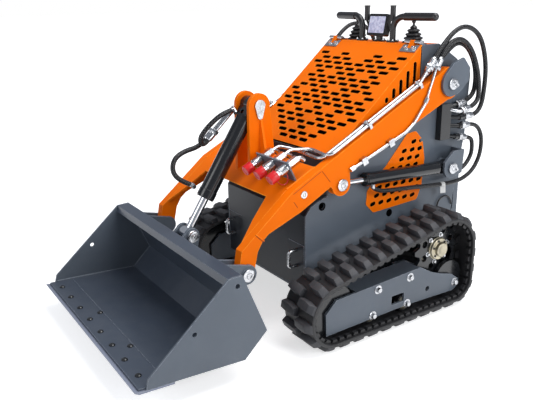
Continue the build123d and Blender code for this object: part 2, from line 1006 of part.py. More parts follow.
# ---------------------------------------------------------------- pins of the arms and ears
head_r, head_t = 24.0, 9.0
with BuildPart() as arm_pins:
    for side in (1, -1):
        # the arm's bucket pin runs through the hitch ears and shows a head on each side
        for y, z in ((lug_y, lug_z),):
            for low, high in ((arm_inner + arm_width, arm_inner + arm_width + head_t),):
                start, depth = between(side, low, high)
                with BuildSketch(start):
                    with Locations((y, z)):
                        Circle(head_r)
                extrude(amount=depth)
        start, depth = between(side, ear_inner + ear_plate, ear_inner + ear_plate + 7)
        with BuildSketch(start):
            with BuildLine():
                Line((tilt_top_y - 24, tilt_top_z), (tilt_top_y - 13, tilt_top_z - 42))
                ThreePointArc(
                    (tilt_top_y - 13, tilt_top_z - 42),
                    (tilt_top_y, tilt_top_z - 54),
                    (tilt_top_y + 13, tilt_top_z - 42),
                )
                Line((tilt_top_y + 13, tilt_top_z - 42), (tilt_top_y + 24, tilt_top_z))
                ThreePointArc(
                    (tilt_top_y + 24, tilt_top_z),
                    (tilt_top_y, tilt_top_z + 25),
                    (tilt_top_y - 24, tilt_top_z),
                )
            make_face()
        extrude(amount=depth)
    with BuildSketch(plane_at(-ear_inner - ear_plate)):
        with Locations((tilt_top_y, tilt_top_z)):
            Circle(pin_r)
    extrude(amount=2 * (ear_inner + ear_plate))
save(arm_pins, "arm_pins")

with BuildPart() as tower_pins:
    for side in (1, -1):
        for y, z, low in ((pivot_y, pivot_z, arm_inner - clear), (lift_base_y, lift_base_z, arm_inner - clear)):
            start, depth = between(side, low, ear_x + ear_t)
            with BuildSketch(start):
                with Locations((y, z)):
                    Circle(pin_r)
            extrude(amount=depth)
            start, depth = between(side, ear_x + ear_t, ear_x + ear_t + head_t)
            with BuildSketch(start):
                with Locations((y, z)):
                    Circle(head_r)
            extrude(amount=depth)
save(tower_pins, "tower_pins")

# ---------------------------------------------------------------- hydraulic cylinders
def along(base, tip):
    """Unit vector from base to tip, both (y, z)."""
    length = hypot(tip[0] - base[0], tip[1] - base[1])
    return (tip[0] - base[0]) / length, (tip[1] - base[1]) / length, length


gland = 12.0  # closed end the rod slides through
piston_t = 16.0


def barrel(x, base, tip, length, radius, bore, rod_r, eye_width, eye_r, neck):
    """Barrel with a base eye at (x, base) that points at tip, bored for the rod from its gland end."""
    dy, dz, _ = along(base, tip)
    with BuildPart() as part:
        with BuildSketch(Plane(origin=(x, base[0] + dy * neck, base[1] + dz * neck), z_dir=(0, dy, dz))):
            Circle(radius)
        extrude(amount=length - neck)
        with BuildSketch(plane_at(x - eye_width / 2)):
            with Locations(base):
                Circle(eye_r)
            with BuildLine():
                ny, nz = -dz, dy
                half = eye_r * 0.8
                Polyline(
                    (base[0] + ny * half, base[1] + nz * half),
                    (base[0] + dy * (neck + 5) + ny * half, base[1] + dz * (neck + 5) + nz * half),
                    (base[0] + dy * (neck + 5) - ny * half, base[1] + dz * (neck + 5) - nz * half),
                    (base[0] - ny * half, base[1] - nz * half),
                    close=True,
                )
            make_face()
        extrude(amount=eye_width)
        with BuildSketch(Plane(origin=(x, base[0] + dy * (length - 36), base[1] + dz * (length - 36)), z_dir=(0, dy, dz))):
            Circle(radius + 2)
        extrude(amount=30)
        bottom = eye_r + 6
        with BuildSketch(Plane(origin=(x, base[0] + dy * bottom, base[1] + dz * bottom), z_dir=(0, dy, dz))):
            Circle(bore)
        extrude(amount=length - gland - bottom, mode=Mode.SUBTRACT)
        with BuildSketch(Plane(origin=(x, base[0] + dy * bottom, base[1] + dz * bottom), z_dir=(0, dy, dz))):
            Circle(rod_r + fit_gap)
        extrude(amount=length, mode=Mode.SUBTRACT)
        with BuildSketch(plane_at(x - eye_width / 2)):
            with Locations(base):
                Circle(pin_r + fit_gap)
        extrude(amount=eye_width, mode=Mode.SUBTRACT)
    return part


def rod(x, base, tip, radius, bore, start, eye_width, eye_r):
    """Rod from start along the cylinder to its eye at tip, with a piston on its inner end."""
    dy, dz, length = along(base, tip)
    with BuildPart() as part:
        with BuildSketch(Plane(origin=(x, base[0] + dy * start, base[1] + dz * start), z_dir=(0, dy, dz))):
            Circle(bore - fit_gap)
        extrude(amount=piston_t)
        with BuildSketch(Plane(origin=(x, base[0] + dy * start, base[1] + dz * start), z_dir=(0, dy, dz))):
            Circle(radius)
        extrude(amount=length - start - eye_r + 6)
        with BuildSketch(plane_at(x - eye_width / 2)):
            with Locations(tip):
                Circle(eye_r)
                Circle(pin_r + fit_gap, mode=Mode.SUBTRACT)
        extrude(amount=eye_width)
    return part


cylinder_x = arm_inner + arm_width / 2
lift_base, lift_tip = (lift_base_y, lift_base_z), (lug_y, lug_z)
for side in (1, -1):
    part = barrel(side * cylinder_x, lift_base, lift_tip, lift_barrel_length, lift_barrel_r, 21, lift_rod_r, 38, 30, 60)
    save(part, f"lift_barrel_{side_name(side)}")
    part = rod(side * cylinder_x, lift_base, lift_tip, lift_rod_r, 21, 68, lift_eye_width, 26)
    save(part, f"lift_rod_{side_name(side)}")

tilt_base, tilt_tip = (tilt_top_y, tilt_top_z), (tilt_low_y, tilt_low_z)
save(barrel(0, tilt_base, tilt_tip, tilt_barrel_length, tilt_barrel_r, 27, tilt_rod_r, 2 * (ear_inner - 2), 32, 56), "tilt_barrel")
save(rod(0, tilt_base, tilt_tip, tilt_rod_r, 27, 150, tilt_eye_width, 26), "tilt_rod")

# ---------------------------------------------------------------- bucket
bucket_section = [
    (-884, 108.2),
    (-489.5, 89),
    (-395.5, 177),
    (-490.6, 412),
    (-544.6, 409),
    (-550, 380),
]
side_section = [
    (-861, 107),
    (-851, 143),
    (-544.6, 409),
    (-490.6, 412),
    (-395.5, 177),
    (-489.5, 89),
]


def inward(points, amount):
    """Each point of an open section moved inward by amount, along the mitre of its corner."""
    moved = []
    for k, (y, z) in enumerate(points):
        before = points[max(k - 1, 0)]
        after = points[min(k + 1, len(points) - 1)]
        a = atan2(z - before[1], y - before[0]) if k else atan2(after[1] - z, after[0] - y)
        b = atan2(after[1] - z, after[0] - y) if k < len(points) - 1 else a
        half = ((b - a + radians(180)) % radians(360) - radians(180)) / 2
        n = a + half + radians(90)
        moved.append((y + amount / cos(half) * cos(n), z + amount / cos(half) * sin(n)))
    return moved


with BuildPart() as bucket_shell:
    with BuildSketch(plane_at(-bucket_half_width + bucket_plate)):
        with BuildLine():
            Polyline(*bucket_section, *reversed(inward(bucket_section, bucket_plate)), close=True)
        make_face()
    extrude(amount=2 * (bucket_half_width - bucket_plate))
save(bucket_shell, "bucket_shell")


def bucket_side(side):
    start, depth = between(side, bucket_half_width - bucket_plate, bucket_half_width)
    with BuildPart() as part:
        with BuildSketch(start):
            with BuildLine():
                Polyline(*side_section, close=True)
            make_face()
            with Locations((-679, 248), (-510, 376)):
                Circle(9, mode=Mode.SUBTRACT)
        extrude(amount=depth)
    return part


for side in (1, -1):
    save(bucket_side(side), f"bucket_side_{side_name(side)}")

with BuildPart() as cutting_edge:
    with BuildSketch(plane_at(-bucket_half_width)):
        with BuildLine():
            Polyline(
                (front_y, 109),
                (-884.4, 100),
                (-760, 94),
                (-759.6, 102),
                (-884.3, 108),
                (front_y + 2, 109.6),
                close=True,
            )
        make_face()
    extrude(amount=2 * bucket_half_width)
save(cutting_edge, "cutting_edge")

# ---------------------------------------------------------------- hitch on the bucket's back
hitch_plate = 12.0


def back_y(z):
    """The outer face of the bucket's back at height z."""
    return -395.5 + (z - 177) * (-490.6 + 395.5) / (412 - 177)


def hitch_outline(y, z, r):
    return [(back_y(z + 62), z + 62), (y - 6, z + r), (y + r, z), (y - 6, z - r), (back_y(z - 76), z - 76)]


with BuildPart() as hitch:
    for side in (1, -1):
        for low in (arm_inner - 3 - hitch_plate, arm_inner + arm_width + 3):
            start, depth = between(side, low, low + hitch_plate)
            with BuildSketch(start):
                with BuildLine():
                    Polyline(*hitch_outline(bucket_pin_y, bucket_pin_z, 40), close=True)
                make_face()
                with Locations((bucket_pin_y, bucket_pin_z)):
                    Circle(38)
            extrude(amount=depth)
        start, depth = between(side, arm_inner - 3, arm_inner + arm_width + 3)
        with BuildSketch(start):
            with Locations((bucket_pin_y, bucket_pin_z)):
                Circle(pin_r)
        extrude(amount=depth)
        start, depth = between(side, arm_inner + arm_width + 3 + hitch_plate, arm_inner + arm_width + 3 + hitch_plate + head_t)
        with BuildSketch(start):
            with Locations((bucket_pin_y, bucket_pin_z)):
                Circle(head_r)
        extrude(amount=depth)
        start, depth = between(side, tilt_eye_width / 2 + 2, tilt_eye_width / 2 + 2 + hitch_plate)
        with BuildSketch(start):
            with BuildLine():
                Polyline(
                    (back_y(404), 404),
                    (tilt_low_y - 8, tilt_low_z + 32),
                    (tilt_low_y + 32, tilt_low_z),
                    (tilt_low_y + 20, tilt_low_z - 70),
                    (back_y(250), 250),
                    close=True,
                )
            make_face()
            with Locations((tilt_low_y, tilt_low_z)):
                Circle(32)
        extrude(amount=depth)
        start, depth = between(side, tilt_eye_width / 2 + 2 + hitch_plate, tilt_eye_width / 2 + 2 + hitch_plate + head_t)
        with BuildSketch(start):
            with Locations((tilt_low_y, tilt_low_z)):
                Circle(head_r)
        extrude(amount=depth)
save(hitch, "hitch")

# ---------------------------------------------------------------- folding operator platform
platform_y, platform_z = 852.0, 262.0  # hinge pin
platform_half, platform_rise = 220.0, 430.0
platform_t = 30.0
platform_wall = 5.0
platform_pin_r = 9.0


def rear_face(z):
    """The body's rear face at height z, on the floor's rise or on the rear panel."""
    (y0, z0), (y1, z1) = ((700, body_bottom), (758, 300)) if z < 300 else ((758, 300), (772, 442))
    return y0 + (z - z0) * (y1 - y0) / (z1 - z0)


with BuildPart() as platform_brackets:
    for side in (1, -1):
        start, depth = between(side, platform_half + 4, platform_half + 14)
        with BuildSketch(start):
            with BuildLine():
                Polyline(
                    (rear_face(240), 240),
                    (rear_face(300), 300),
                    (rear_face(340), 340),
                    (790, 340),
                    (platform_y + 14, platform_z + 12),
                    (platform_y + 14, platform_z - 14),
                    (platform_y - 20, platform_z - 16),
                    close=True,
                )
            make_face()
        extrude(amount=depth)
    with BuildSketch(plane_at(-platform_half - 14)):
        with Locations((platform_y, platform_z)):
            Circle(platform_pin_r)
    extrude(amount=2 * (platform_half + 14))
save(platform_brackets, "platform_brackets")

with BuildPart() as platform:
    with BuildSketch(plane_at(-platform_half)):
        with Locations((rear_y - platform_t / 2, platform_z + 18 + platform_rise / 2)):
            Rectangle(platform_t, platform_rise)
        with BuildLine():
            Polyline(
                (rear_y - platform_t, platform_z + 60),
                (rear_y - platform_t, platform_z - 14),
                (platform_y - 14, platform_z - 14),
                (platform_y - 14, platform_z + 14),
                (rear_y - platform_t - 8, platform_z + 34),
                close=True,
            )
        make_face()
        with Locations((platform_y, platform_z)):
            Circle(platform_pin_r + fit_gap, mode=Mode.SUBTRACT)
    extrude(amount=2 * platform_half)
    with BuildSketch(Plane(origin=(0, rear_y, platform_z + 18 + platform_rise / 2), z_dir=(0, 1, 0))):
        Rectangle(2 * platform_half - 2 * platform_wall, platform_rise - 2 * platform_wall)
    extrude(amount=-platform_t + platform_wall, mode=Mode.SUBTRACT)
save(platform, "platform")

# ---------------------------------------------------------------- quick couplers on the cross-member
coupler_x = (118.0, 204.0, 290.0)
coupler_y = -126.0
coupler_height = 60.0  # coupler axes above the cross-member's top plate
coupler_r = 15.0
beam_slope = atan2(678 - 612.5, 176 - 45)
bracket_plane = Plane(
    origin=(0, coupler_y, beam_top(coupler_y)),
    x_dir=(1, 0, 0),
    z_dir=(0, -cos(beam_slope), -sin(beam_slope)),
)
with BuildPart() as coupler_bracket:
    with BuildSketch(bracket_plane):
        with Locations(((coupler_x[0] + coupler_x[2]) / 2, coupler_height / 2 + 12)):
            Rectangle(coupler_x[2] - coupler_x[0] + 46, coupler_height + 24)
        with Locations(*[(x, coupler_height) for x in coupler_x]):
            Circle(coupler_r + fit_gap, mode=Mode.SUBTRACT)
    extrude(amount=6)
save(coupler_bracket, "coupler_bracket")

with BuildPart() as couplers:
    for x in coupler_x:
        with BuildSketch(bracket_plane.offset(-50)):
            with Locations((x, coupler_height)):
                Circle(coupler_r)
        extrude(amount=108)
        with BuildSketch(bracket_plane.offset(6.3)):
            with Locations((x, coupler_height)):
                Circle(19)
        extrude(amount=38)
        with BuildSketch(bracket_plane.offset(-50)):
            with Locations((x, coupler_height)):
                RegularPolygon(18, 6)
        extrude(amount=40)
save(couplers, "couplers")

with BuildPart() as coupler_caps:
    for x in coupler_x:
        with BuildSketch(bracket_plane.offset(58)):
            with Locations((x, coupler_height)):
                Circle(21)
        extrude(amount=32)
save(coupler_caps, "coupler_caps")

# ---------------------------------------------------------------- steel tubes on the arms
tube_r = 7.0
tube_pitch = 20.0
tube_above = 14.0  # tube centre above the arm's top face
tube_bend = 30.0
ferrule_length = 60.0


def arm_top(y, above):
    """A point above the arm's sloping top face."""
    slope = atan2(1001 - knee_z, 602 - knee_y)
    return (y - above * sin(slope), knee_z + (y - knee_y) * tan(slope) + above * cos(slope))


coupler_back = bracket_plane.offset(-50)
tilt_ends = [Vector(-76, -286, 752), Vector(-96, -286, 752)]  # where the tilt hoses start
tube_ends = [(545.0, 1046.0), (593.0, 1034.0)]  # (y, z) where the arm hoses start
tube_rise_y = 75.0  # the tubes turn up this far ahead of their ends


# (y, z) along the left arm's flank
side_tube_route = [(93, 654), (381, 767), (424, 798), (482, 870), (496, 896)]
(low_y, low_z), (high_y, high_z) = side_tube_route[:2]
flank_slope = atan2(high_z - low_z, high_y - low_y)


def flank_tube_z(y):
    """Height of the flank tube's straight run at y."""
    return side_tube_route[0][1] + (y - side_tube_route[0][0]) * tan(flank_slope)


def arm_tubes(side):
    """Two long tubes on the arm's top, turned up at the rear and inward at the front.

    The left arm carries one more along its flank."""
    with BuildPart() as part:
        for k, (end_y, end_z) in enumerate(tube_ends):
            x = side * (hose_x - k * tube_pitch)
            front = arm_top(8 - 24 * k, tube_above)
            rear = arm_top(end_y - tube_rise_y, tube_above)
            if side > 0:
                start = coupler_back.from_local_coords((coupler_x[1 - k], coupler_height, 0))
                away = coupler_back.from_local_coords((coupler_x[1 - k], coupler_height, -34))
                points = [start, away, (coupler_x[1 - k] + 30, front[0], front[1] + 10)]
            else:
                inner = tilt_ends[k].X
                points = [tilt_ends[k], (inner, -150, 872), (inner, -72, 862), (inner - 6, front[0], front[1] + 6)]
            points += [(x, front[0], front[1]), (x, rear[0], rear[1]), (x, end_y, end_z)]
            with BuildLine():
                path = FilletPolyline(*points, radius=tube_bend if side > 0 else 26)
            with BuildSketch(Plane(origin=path @ 0, z_dir=path % 0)):
                Circle(tube_r)
            sweep(path=path)
            with BuildSketch(Plane(origin=path @ 1, z_dir=path % 1)):
                Circle(ferrule_r)
            extrude(amount=-ferrule_length)
        if side > 0:
            flank = arm_inner + arm_width + tube_r + 3
            with BuildLine():
                path = FilletPolyline(*[(flank, y, z) for y, z in side_tube_route], radius=24)
            with BuildSketch(Plane(origin=path @ 0, z_dir=path % 0)):
                Circle(tube_r)
            sweep(path=path)
            for end, onward in ((path @ 0, path % 0), (path @ 1, path % 1 * -1)):
                with BuildSketch(Plane(origin=end, z_dir=onward)):
                    RegularPolygon(tube_r + 2.5, 6)
                extrude(amount=22)
            with BuildSketch(plane_at(arm_inner + arm_width)):
                for y in (161, 300):
                    with Locations((y, flank_tube_z(y))):
                        Rectangle(26, 30, rotation=degrees(flank_slope))
            extrude(amount=2 * tube_r + 5)
    return part


for side in (1, -1):
    save(arm_tubes(side), f"arm_tubes_{side_name(side)}")

# ---------------------------------------------------------------- hoses
def hose(points, radius):
    """Round hose along a route of straight runs joined by arcs as large as the runs allow."""
    corners = [Vector(*point) for point in points]
    runs = [b - a for a, b in zip(corners, corners[1:])]
    bends = []
    for before, after in zip(runs, runs[1:]):
        turn = radians(before.get_angle(after))
        bends.append(0.45 * min(before.length, after.length) / tan(turn / 2))
    with BuildPart() as part:
        with BuildLine():
            path = FilletPolyline(*corners, radius=bends)
        with BuildSketch(Plane(origin=path @ 0, z_dir=path % 0)):
            Circle(radius)
        sweep(path=path)
    share = part.part.volume / (pi * radius**2 * path.length)
    print("bend radii", [round(bend) for bend in bends], "length", round(path.length), "volume share", round(share, 4))
    return part


def beyond(start, end, reach):
    """The point reach past end on the line from start, so that a hose leaves its ferrule straight."""
    return end + (end - start).normalized() * reach


tube_knees = [arm_top(end_y - tube_rise_y, tube_above) for end_y, end_z in tube_ends]
outer_route = [(668, 1164), (746, 1172), (822, 1130), (866, 1040), (880, 940)]
inner_route = [(700, 1108), (764, 1090), (816, 1028), (840, 950)]
gland_route = [
    # (y, z) round the lower ear and forward under the barrel
    (872, 712),
    (888, 656),
    (880, 590),
    (840, 532),
    (776, 502),
    (700, 495),
    (580, 504),
    (440, 518),
    (330, 526),
    (264, 534),
]
base_route = [(846, 650), (846, 604), (816, 564), (776, 541)]
for side in (1, -1):
    for name, k, route in (("arm_outer", 0, outer_route), ("arm_inner", 1, inner_route)):
        x = side * (hose_x - k * tube_pitch)
        tube_end = Vector(x, *tube_ends[k])
        knee, port_end = ferrule_knee(name, side)
        points = [tube_end, beyond(Vector(x, *tube_knees[k]), tube_end, 55)]
        points += [Vector(x, y, z) for y, z in route]
        points += [beyond(knee, port_end, 62), port_end]
        save(hose(points, hose_r), f"{name[:3]}_hose_{name[4:]}_{side_name(side)}")
    for name, route, end in (
        ("lift_gland", gland_route, (236, 552)),
        ("lift_base", base_route, (736, 532)),
    ):
        knee, port_end = ferrule_knee(name, side)
        points = [port_end, beyond(knee, port_end, 45)]
        points += [Vector(port_end.X, y, z) for y, z in [*route, end]]
        save(hose(points, lift_hose_r), f"lift_hose_{name[5:]}_{side_name(side)}")

base_end, gland_end = tilt_ends
base_loop = [(-40, -196, 866), (-40, -232, 858), (-44, -270, 836), (-50, -312, 800), (-58, -338, 762)]
points = [*[Vector(*p) for p in base_loop], beyond(Vector(-76, -150, 872), base_end, 40), base_end]
save(hose(points, hose_r), "tilt_hose_base")
gland_loop = [(-44, -398, 588), (-48, -438, 608), (-58, -466, 646), (-70, -450, 694), (-84, -396, 716)]
points = [*[Vector(*p) for p in gland_loop], beyond(Vector(-96, -150, 872), gland_end, 45), gland_end]
save(hose(points, hose_r), "tilt_hose_gland")
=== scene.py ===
# %% [markdown]
# # Dressing a compact tracked loader
# The loader's structure comes as a finished CAD frame: arms, tracks, cylinders, hood and bucket, in metres,
# with +Z up, +X the machine's left side and -Y the bucket's end. This lesson adds what the frame leaves out,
# such as hose braid, tread, bolt heads and weld beads, and gives every surface its finish.
# Nothing of the frame is moved. New parts are put where the frame's own parts lie.

# %% Load the frame
import json
import math
import bmesh
import bpy
import numpy as np
from mathutils import Matrix


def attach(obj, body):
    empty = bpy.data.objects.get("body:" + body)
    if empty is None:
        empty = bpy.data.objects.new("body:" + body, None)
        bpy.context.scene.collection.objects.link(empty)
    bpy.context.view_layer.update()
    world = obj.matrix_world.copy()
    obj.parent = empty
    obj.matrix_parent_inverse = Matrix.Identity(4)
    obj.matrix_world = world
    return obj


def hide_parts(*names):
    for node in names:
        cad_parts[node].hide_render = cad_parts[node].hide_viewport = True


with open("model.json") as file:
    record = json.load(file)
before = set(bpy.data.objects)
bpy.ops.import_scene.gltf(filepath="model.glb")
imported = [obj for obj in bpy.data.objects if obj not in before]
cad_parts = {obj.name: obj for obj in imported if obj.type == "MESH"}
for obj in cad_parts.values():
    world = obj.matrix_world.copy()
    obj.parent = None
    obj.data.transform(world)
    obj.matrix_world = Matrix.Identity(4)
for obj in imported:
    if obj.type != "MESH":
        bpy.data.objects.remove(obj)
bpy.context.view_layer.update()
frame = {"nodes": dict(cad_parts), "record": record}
MM = 0.001
SIDES = {"left": 1.0, "right": -1.0}

# %% [markdown]
# ## Camera
# The machine is seen from its front left corner, a little above the hood's height. A camera can be aimed with
# a constraint, but here its three axes are worked out from an azimuth, an elevation and a small roll, because
# those are the numbers that anyone setting up a tripod would note down.

# %% Camera
azimuth, elevation, roll = (math.radians(v) for v in (56.88, 17.35, -1.02))
camera_place = (2.2198, -1.5082, 1.2974)
focal_length, sensor_width = 43.65, 36.0
back = np.array([math.sin(azimuth), -math.cos(azimuth), math.tan(elevation)]) * math.cos(elevation)
level = np.array([math.cos(azimuth), math.sin(azimuth), 0.0])
upright = np.cross(back, level)
right = level * math.cos(roll) + upright * math.sin(roll)
up = upright * math.cos(roll) - level * math.sin(roll)


def placed(first, second, third, origin):
    """A matrix whose axes are three unit vectors and whose place is the origin."""
    return Matrix([*np.column_stack([first, second, third, origin]).tolist(), [0, 0, 0, 1]])


def new_object(name, data):
    """An object that holds the data, put into the scene."""
    obj = bpy.data.objects.new(name, data)
    bpy.context.scene.collection.objects.link(obj)
    return obj


camera = new_object("camera", bpy.data.cameras.new("camera"))
camera.data.sensor_width = sensor_width
camera.data.lens = focal_length
camera.matrix_world = placed(right, up, back, camera_place)
bpy.context.scene.camera = camera
bpy.context.scene.view_settings.view_transform = "Standard"
print("camera", [round(v, 3) for v in camera.matrix_world.translation])

# %% [markdown]
# ## Shapes from arrays
# Almost every small part here is one of two surfaces: a profile turned about an axis, or a ring carried
# along a path. Blender has Spin, Screw and curve bevels for these, but an array of points is shorter to
# write, gives the same result every run and can be joined with thousands of its like. Each helper below
# works out all of its points at once, and `add_piece` puts them into a mesh.

# %% Surfaces on a grid
def mm(values):
    """An array of lengths given in millimetres, in metres."""
    return np.array(values, float) * MM


def unit(vector):
    """The vector, one long."""
    vector = np.asarray(vector, float)
    return vector / np.linalg.norm(vector)


def across(axis):
    """Two unit vectors at right angles to an axis and to each other."""
    axis = unit(axis)
    helper = np.eye(3)[np.argmin(np.abs(axis))]
    first = unit(np.cross(axis, helper))
    return first, np.cross(axis, first)


def grid_faces(rows, columns, close_rows=False):
    """Four-sided faces of a grid whose columns wrap round; the rows wrap too if asked."""
    r, c = np.indices((rows if close_rows else rows - 1, columns))
    below, beside = (r + 1) % rows, (c + 1) % columns
    corners = [r * columns + c, r * columns + beside, below * columns + beside, below * columns + c]
    return np.stack(corners, axis=-1).reshape(-1, 4)


def weld(points, faces):
    """Joins points that fall together, as at a pole, and drops the face corners that repeat."""
    _, first, back = np.unique(np.round(points / 1e-6), axis=0, return_index=True, return_inverse=True)
    faces = back.reshape(-1)[faces].tolist()
    merged = [[i for k, i in enumerate(face) if i != face[k - 1]] for face in faces]
    return points[first], [face for face in merged if len(face) > 2]


def lathe(profile, centre, axis, sides=24):
    """Surface of revolution: a ring of each profile row's radius, at its height along the axis."""
    radius, height = np.array(profile, float).T
    first, second = across(axis)
    angle = 2 * np.pi * np.arange(sides) / sides
    ring = np.cos(angle)[:, None] * first + np.sin(angle)[:, None] * second
    points = np.asarray(centre) + height[:, None, None] * unit(axis) + radius[:, None, None] * ring
    return weld(points.reshape(-1, 3), grid_faces(len(radius), sides))


def carried_ring(path, radius, sides=12):
    """Tube: a ring of the radius (one, or one a point) square to the path, turned as little as it can be."""
    path = np.asarray(path, float)
    tangent = np.gradient(path, axis=0)
    tangent /= np.linalg.norm(tangent, axis=1)[:, None]
    first = np.empty_like(path)
    first[0] = across(tangent[0])[0]
    for k in range(1, len(path)):
        first[k] = unit(first[k - 1] - tangent[k] * (first[k - 1] @ tangent[k]))
    second = np.cross(tangent, first)
    angle = 2 * np.pi * np.arange(sides)[:, None] / sides
    ring = np.cos(angle) * first[:, None] + np.sin(angle) * second[:, None]
    return path[:, None] + np.broadcast_to(radius, len(path))[:, None, None] * ring


def closed_tube(path, radius, sides=12):
    """A tube whose ends shrink to a point, so that the surface is closed."""
    path = np.asarray(path, float)
    tips = [np.broadcast_to(path[k], (1, sides, 3)) for k in (0, -1)]
    rings = np.concatenate([tips[0], carried_ring(path, radius, sides), tips[1]])
    return weld(rings.reshape(-1, 3), grid_faces(len(rings), sides))


def extruded(outline, plane, thickness, bevel=0.0):
    """Plate: a flat outline carried through its thickness, with its two rims drawn in by the bevel.

    plane is (origin, first direction, second direction), and outline holds distances along those two.
    """
    origin, first, second = (np.asarray(v, float) for v in plane)
    normal = np.cross(first, second)
    outline = np.asarray(outline, float)
    middle = outline.mean(axis=0)
    if np.cross(outline - middle, np.roll(outline, -1, axis=0) - middle).sum() < 0:
        outline = outline[::-1]
    drawn = middle + (outline - middle) * (1 - bevel / np.linalg.norm(outline - middle, axis=1).min())
    levels = [(drawn, 0.0), (outline, bevel), (outline, thickness - bevel), (drawn, thickness)]
    rows = [origin + flat[:, :1] * first + flat[:, 1:] * second + depth * normal for flat, depth in levels]
    count = len(outline)
    caps = [list(range(count))[::-1], list(range(3 * count, 4 * count))]
    return np.concatenate(rows), grid_faces(len(levels), count).tolist() + caps


def joined(shapes):
    """Several (points, faces) shapes as one."""
    points, faces, start = [], [], 0
    for shape_points, shape_faces in shapes:
        points.append(shape_points)
        faces += [[i + start for i in face] for face in shape_faces]
        start += len(shape_points)
    return np.concatenate(points), faces


print("helpers ready")

# %% [markdown]
# ## Pieces and their smoothing
# A frame node arrives as loose triangles with knife-sharp edges, and no real plate has those: a folded or
# cut edge is broken by a file and rounded again by its paint, and that thin round edge is what catches the
# light. One modifier stack does this for the frame nodes. It merges the triangles, dissolves the flat ones,
# bevels the sharp edges and smooths what is left. The smoothing is a small Geometry Nodes group, because it
# has to look at edge angles after the merge.

# %% Nodes by name, and the smoothing group
def feed(made, **inputs):
    """Fills a node's inputs: a number, a colour or another node's output; an underscore is a space."""
    for label, value in inputs.items():
        label = label.replace("_", " ")
        socket = made.inputs[int(label[5:])] if label.startswith("input") else made.inputs[label]
        if isinstance(value, bpy.types.NodeSocket):
            made.id_data.links.new(value, socket)
        else:
            socket.default_value = value


def node(tree, kind, settings=(), **inputs):
    """A new node with its own settings and its inputs."""
    made = tree.nodes.new(kind)
    for label, value in dict(settings).items():
        setattr(made, label, value)
    feed(made, **inputs)
    return made


smoothing = bpy.data.node_groups.new("smooth by angle", "GeometryNodeTree")
for direction in ("INPUT", "OUTPUT"):
    smoothing.interface.new_socket("Geometry", in_out=direction, socket_type="NodeSocketGeometry")
start, end = smoothing.nodes.new("NodeGroupInput"), smoothing.nodes.new("NodeGroupOutput")
edge_angle = node(smoothing, "GeometryNodeInputMeshEdgeAngle").outputs["Unsigned Angle"]
gentle = node(smoothing, "FunctionNodeCompare", {"operation": "LESS_EQUAL"}, A=edge_angle, B=math.radians(32))
faces = node(smoothing, "GeometryNodeSetShadeSmooth", Geometry=start.outputs[0])
edges = node(smoothing, "GeometryNodeSetShadeSmooth", {"domain": "EDGE"}, Geometry=faces.outputs[0])
feed(edges, Shade_Smooth=gentle.outputs["Result"])
feed(end, Geometry=edges.outputs[0])
print("smoothing nodes", len(smoothing.nodes))


# %% The stack for plates, and new pieces
def modify(obj, name, kind, **settings):
    """A new modifier with its settings."""
    modifier = obj.modifiers.new(name, kind)
    for label, value in settings.items():
        setattr(modifier, label, value)


def smoothed(obj):
    """Adds the smoothing group to an object."""
    modify(obj, "smooth", "NODES", node_group=smoothing)


def broken_edges(obj, width):
    """Merges a frame node's triangles and rounds its sharp edges by the width."""
    modify(obj, "merge", "WELD", merge_threshold=0.01 * MM)
    modify(obj, "flat faces", "DECIMATE", decimate_type="DISSOLVE", angle_limit=math.radians(0.5))
    modify(obj, "edges", "BEVEL", width=width, segments=2, limit_method="ANGLE", angle_limit=math.radians(40))
    smoothed(obj)
    modify(obj, "flat shading", "WEIGHTED_NORMAL", keep_sharp=True)


def add_piece(name, shapes, body, material, smooth=True):
    """Puts shapes, as points and faces, into a new mesh object that rides on a body of the frame."""
    points, faces = joined(shapes)
    mesh = bpy.data.meshes.new(name)
    mesh.from_pydata(points.tolist(), [], faces)
    shell = bmesh.new()
    shell.from_mesh(mesh)
    bmesh.ops.recalc_face_normals(shell, faces=shell.faces)
    shell.to_mesh(mesh)
    shell.free()
    mesh.materials.append(material)
    obj = new_object(name, mesh)
    if smooth:
        smoothed(obj)
    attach(obj, body)
    print(name, "faces", len(mesh.polygons))
    return obj


# %% [markdown]
# ## Effects shared by the finishes
# The machine is new but not spotless. Four effects make its surfaces believable: paint that has a faint
# orange-peel ripple, a paler band on the edges that is partly paint rubbed thin and partly a painted
# highlight where the rounded edge catches the light, a little dust that gathers low down and on top of
# things, and slow changes of tone. Each is a node group with named inputs, so one wiring serves all the
# finishes with other numbers. An image of worn metal could be wrapped on instead, but a procedural pattern
# has no seams on parts this varied.

# %% Node helpers
def new_group(name, output, **inputs):
    """An empty shader group with number inputs and one number output: its tree, its inputs and its end."""
    tree = bpy.data.node_groups.new(name, "ShaderNodeTree")
    for label, value in inputs.items():
        socket = tree.interface.new_socket(label, in_out="INPUT", socket_type="NodeSocketFloat")
        socket.default_value = value
    tree.interface.new_socket(output, in_out="OUTPUT", socket_type="NodeSocketFloat")
    return tree, tree.nodes.new("NodeGroupInput").outputs, tree.nodes.new("NodeGroupOutput")


def maths(tree, operation, first, second=0.5, clamp=False):
    """A Math node's output."""
    settings = {"operation": operation, "use_clamp": clamp}
    return node(tree, "ShaderNodeMath", settings, input0=first, input1=second).outputs[0]


def ramp(tree, value, low, high):
    """The value from 0 at low to 1 at high, smoothly."""
    smooth = {"interpolation_type": "SMOOTHSTEP"}
    made = node(tree, "ShaderNodeMapRange", smooth, Value=value, From_Min=low, From_Max=high)
    return made.outputs["Result"]


def own_place(tree):
    """A point's place on the object, which moves with it."""
    return tree.nodes.new("ShaderNodeTexCoord").outputs["Object"]


def noise(tree, scale, detail, roughness):
    """Noise of that scale over the object."""
    made = node(tree, "ShaderNodeTexNoise", Scale=scale, Detail=detail, Roughness=roughness)
    feed(made, Vector=own_place(tree))
    return made.outputs["Fac"]


print("node helpers ready")
